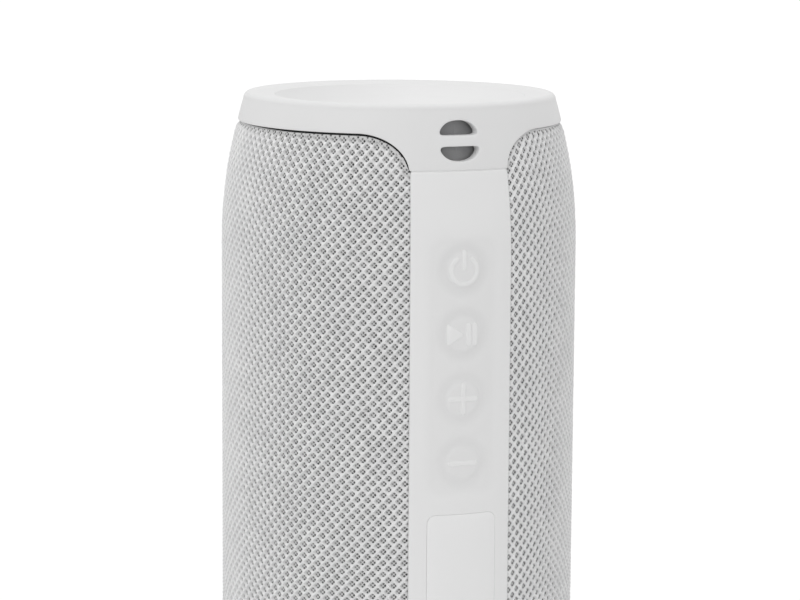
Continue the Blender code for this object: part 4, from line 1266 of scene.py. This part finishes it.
def fabric_mesh():
    """Whole cloth: vertices, quads of each hole, turns of the holes, and (turn, z, painted shade).
    """
    rng = np.random.default_rng(7)
    hole_turn, hole_z = hole_centres()
    count = len(hole_turn)
    # the diamond round each hole, shared with its neighbours
    k = np.arange(SEGMENTS)
    side = k * 4 // SEGMENTS
    share = (k * 4 / SEGMENTS) - side
    corner = np.array([(1, 0), (0, 1), (-1, 0), (0, -1)], float)
    diamond = corner[side] * (1 - share)[:, None] + corner[(side + 1) % 4] * share[:, None]
    diamond *= (PITCH_TURN * MM_PER_DEG / 2, PITCH_Z / 2)
    angle = 2 * math.pi * k / SEGMENTS
    circle = np.stack([np.cos(angle), np.sin(angle)], axis=1)
    centres = np.stack([hole_turn * MM_PER_DEG, hole_z], axis=1)[:, None]
    size = 1.0 + 0.045 * rng.standard_normal((count, 1))
    offset = 0.025 * rng.standard_normal((count, 2))
    edge_ring = (centres + diamond[None]).reshape(-1, 2)
    edge_depth = np.tile(0.07 - 0.19 * np.sin(math.pi * share) ** 0.8, (count, 1))
    # weld the diamonds
    _, first, inverse = np.unique(
        np.round(edge_ring / 1e-3).astype(np.int64), axis=0, return_index=True,
        return_inverse=True)
    shared = len(first)
    points, depths, side_shades = [edge_ring[first]], [edge_depth.reshape(-1)[first]], [np.zeros(shared)]
    index = [inverse.reshape(count, SEGMENTS)]
    side_shade = hole_side_shade(hole_turn, angle)
    for i, (blend, radius, depth, shade) in enumerate(HOLE_RINGS):
        shape = (1 - blend) * diamond + blend * radius * circle
        grow = (1.0 + (size - 1.0) * blend)[:, None]
        ring = centres + offset[:, None] * blend + grow * shape[None]
        points.append(ring.reshape(-1, 2))
        depths.append((depth + (1.0 - blend) * edge_depth).reshape(-1))
        side_shades.append((shade * side_shade).reshape(-1))
        start = shared + i * count * SEGMENTS
        index.append(start + np.arange(count * SEGMENTS).reshape(count, SEGMENTS))
    points, depths, side_shades = np.vstack(points), np.concatenate(depths), np.concatenate(side_shades)
    quads = np.stack([
        np.stack([outer, np.roll(outer, -1, axis=1), np.roll(inner, -1, axis=1), inner], axis=2)
        for outer, inner in zip(index, index[1:])
    ], axis=1).reshape(count, -1, 4)
    # yarns wander a little
    points[:, 1] += row_rise(points[:, 0] / MM_PER_DEG)
    u, z = points[:, 0], points[:, 1]
    wave = 0.02 * np.sin(u * 2.1 + 1.3 * np.sin(z * 0.37)) + 0.02 * np.sin(z * 1.7 + 2.0)
    jitter = 0.012 * rng.standard_normal(len(points))
    # the cloth turns inwards at the lips and at the strip
    turn = u / MM_PER_DEG
    past_gap = lip_distance(turn, z) - lip_gap(turn)
    lip_roll = np.interp(past_gap, LIP_ROLL[:, 0], LIP_ROLL[:, 1])
    from_strip = np.abs(signed_turn(turn)) * MM_PER_DEG - STRIP_HALF_WIDTH
    strip_roll = np.clip((0.75 - from_strip) / 0.75, 0.0, 1.6)
    radius = body_r(z) + depths + 0.5 * wave + jitter - lip_roll - 0.38 * strip_roll ** 2
    widening = gap_widening(turn)
    # painted shade: the yarn darkens towards each lip, more where the gap is wide, and on one side
    # of each hole
    lip_shade = (0.35 + 0.5 * widening) * (1.0 - smooth((past_gap + 0.1) / (0.6 + 0.9 * widening)))
    painted_shade = np.clip(lip_shade + HOLE_SHADE_SHARE * side_shades, 0.0, 0.95)
    return polar(turn, radius, z), quads, hole_turn, np.stack([turn, z, painted_shade], axis=1)


def build_fabric():
    """Cloth, cut into panels round the body."""
    verts, hole_quads, hole_turn, layout = fabric_mesh()
    normals = vertex_normals(verts, hole_quads.reshape(-1, 4))
    bounds = np.linspace(SLEEVE_EDGE, 360.0 - SLEEVE_EDGE, PANELS + 1)
    for k in range(PANELS):
        start, end = bounds[k], bounds[k + 1]
        # the outermost panels also take the holes past the fabric's edges
        after_start = hole_turn >= start - (1 if k == 0 else 0)
        before_end = hole_turn < end + (1 if k == PANELS - 1 else 0)
        quads = hole_quads[after_start & before_end].reshape(-1, 4)
        used, new = np.unique(quads, return_inverse=True)
        panel = mesh_object(
            f"fabric_sleeve_{k + 1}", verts[used], new.reshape(-1, 4), KNIT,
            normals=normals[used])
        turn, z, painted_shade = layout[used].T
        add_shade(panel, painted_shade)
        add_uv(panel, np.stack([(turn - start + 2) / (end - start + 4), z / HEIGHT], axis=1))
        dress(panel, "fabric_sleeve", rides="housing")


def build_backing():
    """Second layer of the fabric, a little below the first."""
    rows, columns = 84, 164
    turn = np.linspace(SLEEVE_EDGE - 0.2, 360.0 - SLEEVE_EDGE + 0.2, columns)
    share = np.linspace(0.0, 1.0, rows)[:, None]
    top = (EDGE_Z - lip_at(turn) - 0.45)[None, :]
    z = (HEIGHT - top) * (1 - share) + top * share
    turn = np.broadcast_to(turn, z.shape)
    verts = np.vstack([
        polar(turn, body_r(z) - depth, z).reshape(-1, 3) for depth in (0.54, 1.5)
    ])
    count = rows * columns
    index = np.arange(count).reshape(rows, columns)
    quads = np.stack(
        [index[:-1, :-1], index[:-1, 1:], index[1:, 1:], index[1:, :-1]], axis=2).reshape(-1, 4)
    border = np.concatenate([index[0], index[1:, -1], index[-1, -2::-1], index[-2:0:-1, 0]])
    after = np.roll(border, -1)
    walls = np.stack([after, border, border + count, after + count], axis=1)
    faces = np.vstack([quads, quads[:, ::-1] + count, walls])
    obj = mesh_object("fabric_backing", verts, faces, BACKING, sharp=40)
    turn, z = np.tile(turn.ravel(), 2), np.tile(z.ravel(), 2)
    # the bake's layout first, the shader's lattice second
    add_uv(obj, np.stack([(turn - SLEEVE_EDGE + 1) / (SPAN + 2), z / HEIGHT], axis=1))
    lattice_u = (turn - SLEEVE_EDGE) / PITCH_TURN - 0.5 - LATTICE_SHIFT
    lattice_v = (z - LATTICE_Z - row_rise(turn)) / PITCH_Z
    add_uv(obj, np.stack([lattice_u, lattice_v], axis=1), "Lattice")
    dress(obj, "fabric_sleeve", rides="housing")


# sections of the bands along the lips: (distance from the lip, share of the gap added, depth)
HEM = [
    (0.42, 1.0, 0.62), (0.25, 1.0, 0.68), (0.12, 1.0, 0.78), (0.04, 1.0, 0.92), (0.0, 1.0, 1.1),
    (0.0, 1.0, 1.5), (0.42, 1.0, 1.5),
]
# black band in the gap under each lip: a dark sheet that stands for the shadow there, painted
# shadow
LIP_SHADOW_BAND = [(-0.5, 0.0, 1.15), (0.3, 1.0, 1.15), (0.3, 1.0, 1.7), (-0.5, 0.0, 1.7)]


def build_lip_band(name, section, top, material):
    """Closed bands that follow the lip of a cap, left and right of the strip."""
    lip = lip_curve()
    for side, sign in (("left", -1), ("right", 1)):
        # from the back of the body to the strip, then on along the strip's edge
        path = lip[sign * lip[:, 0] > 0][::-sign]
        end = path[np.argmin(path[:, 1])]
        tail = np.stack([np.full(8, end[0]), end[1] - np.linspace(0.6, 5.0, 8)], axis=1)
        path = resample_open(np.vstack([path, tail]), 0.35)
        away = left_normals(path) * sign
        sink = 0.9 * smooth((end[1] + 0.2 - path[:, 1]) / 4.0)
        gap = lip_gap(path[:, 0] / LIP_MM_PER_DEG)
        lines = []
        for distance, share, depth in section:
            line = path + away * (distance + share * gap)[:, None]
            radius = body_r(line[:, 1]) - depth - sink
            lines.append(polar(line[:, 0] / LIP_MM_PER_DEG, radius, line[:, 1]))
        band = swept_bar(f"{name}_{side}", at_end(np.array(lines), top), material, sharp=50)
        dress(band, "fabric_sleeve", rides="housing")


# ---- passive radiators: a shallow bowl in each end -------------------------------------
BOWL_DEPTH = 4.3
TURNED_COLUMNS = 160
FLEXING_RADII = (25.17, 24.6, 24.0, 23.2, 22.2, 21.2, 20.2, 19.4, 18.93)
DISC_R = 18.915
DISC_RADII = (DISC_R, 18.2, 17.0, 14.0, 10.0, 6.0, 3.0, 0.0)


def turned(name, profile, top):
    """Closed solid turned about the axis; (radius, z) may touch the axis at both ends."""
    turns = 360.0 * np.arange(TURNED_COLUMNS) / TURNED_COLUMNS
    verts, rings = [], []
    count = 0
    for radius, z in profile:
        if radius < 1e-9:
            verts.append(np.array([[0.0, 0.0, z * MM]]))
            rings.append(np.full(TURNED_COLUMNS, count))
        else:
            verts.append(polar(turns, radius, z))
            rings.append(count + np.arange(TURNED_COLUMNS))
        count += len(verts[-1])
    pairs = list(zip(rings, rings[1:]))
    if profile[0][0] > 1e-9:
        pairs.append((rings[-1], rings[0]))
    quads, tris = [], []
    for ring, after in pairs:
        if ring[0] == ring[1]:
            tris.append(np.stack([ring, after, np.roll(after, -1)], axis=1))
        elif after[0] == after[1]:
            tris.append(np.stack([ring, after, np.roll(ring, -1)], axis=1))
        else:
            quads.append(ring_quads(ring, after))
    faces = [np.vstack(quads)] + ([np.vstack(tris)] if tris else [])
    return solid(name, at_end(np.vstack(verts), top), faces, BOWL)


def bowl_curve(radii):
    """Surface of the bowl through the given radii, as (radius, z)."""
    stations = [(r, 0.12 + BOWL_DEPTH * (1.0 - (r / RECESS_R) ** 2)) for r in radii]
    return [(radius, EDGE_Z - depth) for radius, depth in spline(stations)]


def roll_weight(points):
    distance = np.hypot(points[:, 0], points[:, 1])
    return 1.0 - smooth((distance - 19.3) / (24.5 - 19.3))


def build_radiator(end):
    """A ring round the bowl, and a stiff middle that moves."""
    top = end == "top"
    upper = bowl_curve(FLEXING_RADII)
    lower = [(radius, z - 0.6) for radius, z in reversed(upper)]
    surround = turned(f"{end}_radiator_roll", upper + lower, top)
    moving = f"{end}_radiator_moving"
    blend_from(surround, roll_weight)
    dress(surround, f"{end}_radiator_surround")
    underside = [(0.0, 5.2), (17.9, 5.2), (18.5, 4.8), (DISC_R, 4.2)]    # (radius, depth)
    profile = [(radius, EDGE_Z - depth) for radius, depth in underside] + bowl_curve(DISC_RADII)
    plate = turned(f"{end}_radiator_disc", profile, top)
    dress(plate, f"{end}_radiator_plate", rides=moving)


# ---- stage ---------------------------------------------------------------------------
WHITE = grey(1.0)
BACKDROP_STRENGTH = 1.05


def build_floor():
    """Round floor that fades to plain white away from the object, for the camera only."""
    count, radii = 96, [0.05, 0.1, 0.16, 0.24, 0.4, 0.8, 2.0, 6.0, 14.0]    # metres
    angles = [2 * math.pi * i / count for i in range(count)]
    verts = [(0.0, 0.0, 0.0)]
    verts += [(r * math.cos(a), r * math.sin(a), 0.0) for r in radii for a in angles]
    faces = [(0, 1 + i, 1 + (i + 1) % count) for i in range(count)]
    for k in range(len(radii) - 1):
        inner, outer = 1 + k * count, 1 + (k + 1) * count
        faces += [
            (inner + i, outer + i, outer + (i + 1) % count, inner + (i + 1) % count)
            for i in range(count)
        ]
    mesh = bpy.data.meshes.new("floor")
    mesh.from_pydata(verts, [], faces)
    obj = bpy.data.objects.new("floor", mesh)
    bpy.context.scene.collection.objects.link(obj)
    obj.location.z = -0.0001
    material, tree, shader = new_material("floor_white", grey(0.9), roughness=0.6)
    position = add_node(tree, "NewGeometry").outputs["Position"]
    fade = remap(tree, vector_calc(tree, "LENGTH", position), source=(0.10, 0.26))
    is_camera = add_node(tree, "LightPath").outputs["Is Camera Ray"]
    factor = calc(tree, "MULTIPLY", fade, is_camera)
    glow = add_node(tree, "Emission", {"Color": WHITE, "Strength": BACKDROP_STRENGTH})
    mix = add_node(tree, "MixShader", {0: factor, 1: shader.outputs[0], 2: glow.outputs[0]})
    feed(tree.nodes["Material Output"], {"Surface": mix.outputs[0]})
    mesh.materials.append(material)


def set_world(scene):
    """Surroundings a little brighter behind the object and to its right; white to the camera."""
    world = bpy.data.worlds.new("studio")
    scene.world = world
    world.use_nodes = True
    tree = world.node_tree
    background = tree.nodes["Background"]
    feed(background, {"Color": WHITE, "Strength": 0.62})
    toward = tuple(VIEW_TURN @ Vector((0.6, 0.8, 0.0)))
    direction = add_node(tree, "TexCoord").outputs["Generated"]
    facing = vector_calc(tree, "DOT_PRODUCT", direction, toward)
    strength = remap(tree, facing, source=(-1.0, 1.0), target=(0.655, 0.873))
    feed(background, {"Strength": strength})
    white = add_node(tree, "Background", {"Color": WHITE, "Strength": BACKDROP_STRENGTH})
    is_camera = add_node(tree, "LightPath").outputs["Is Camera Ray"]
    inputs = {0: is_camera, 1: background.outputs[0], 2: white.outputs[0]}
    mix = add_node(tree, "MixShader", inputs)
    feed(tree.nodes["World Output"], {"Surface": mix.outputs[0]})


def set_view(scene):
    scene.view_settings.view_transform = "Standard"
    scene.view_settings.look = "None"
    scene.view_settings.exposure = 0.0
    scene.view_settings.gamma = 1.0


def add_camera(scene):
    yaw, pitch, roll = math.radians(0.032), math.radians(8.653), math.radians(0.364)
    distance, rise = 598.46, 48.80      # from the axis, and above the edge plane
    forward = Vector((
        math.sin(yaw) * math.cos(pitch), math.cos(yaw) * math.cos(pitch), -math.sin(pitch)))
    level = Vector((math.cos(yaw), -math.sin(yaw), 0.0))
    upright = level.cross(forward)
    right = VIEW_TURN @ (level * math.cos(roll) + upright * math.sin(roll))
    above = VIEW_TURN @ (-level * math.sin(roll) + upright * math.cos(roll))
    behind = VIEW_TURN @ (-forward)
    place = VIEW_TURN @ Vector((0.0, -distance * MM, 0.0))
    place.z = (EDGE_Z + rise) * MM
    data = bpy.data.cameras.new("camera")
    data.sensor_width = 36.0
    data.lens = 133.28325
    data.clip_start, data.clip_end = 0.01, 50.0
    camera = bpy.data.objects.new("camera", data)
    scene.collection.objects.link(camera)
    columns = (right, above, behind, place)
    rows = [tuple(column[k] for column in columns) for k in range(3)]
    camera.matrix_world = Matrix((*rows, (0, 0, 0, 1)))
    scene.camera = camera


def area_light(scene, name, at, target, size, power):
    """at and target are in the camera's own turn about Z: x right, y away from it; metres."""
    data = bpy.data.lights.new(name, "AREA")
    data.shape = "RECTANGLE"
    data.size = data.size_y = size
    data.energy = power
    obj = bpy.data.objects.new(name, data)
    scene.collection.objects.link(obj)
    place, aim = VIEW_TURN @ Vector(at), VIEW_TURN @ Vector(target)
    obj.location = place
    obj.rotation_euler = (aim - place).to_track_quat("-Z", "Y").to_euler()


# ---- build ---------------------------------------------------------------------------
dress_frame_parts()
build_cap("top")
build_cap("bottom")
build_slot_liner()
build_strip()
build_flap()
build_flap_barrel()
build_flap_seat()
build_seam("top", STRIP_TOP_Z + 0.02)
build_seam("bottom", STRIP_LOW_Z - 0.02)
build_fabric()
build_backing()
for end_name in ("top", "bottom"):
    is_top = end_name == "top"
    build_lip_band(f"fabric_{end_name}_hem", HEM, is_top, KNIT)
    # painted shadow: a black band fills the gap under each lip
    build_lip_band(f"fabric_{end_name}_gap_shadow", LIP_SHADOW_BAND, is_top, SEAL_AND_GAP_SHADOW)
build_radiator("top")
build_radiator("bottom")

build_floor()
main_scene = bpy.context.scene
set_world(main_scene)
set_view(main_scene)
add_camera(main_scene)
area_light(main_scene, "key", at=(-0.55, -0.75, 0.75), target=(0, 0, 0.12), size=0.6, power=1.77)
area_light(main_scene, "top", at=(-0.06, 0.05, 1.0), target=(0, 0, 0.15), size=0.9, power=2.02)
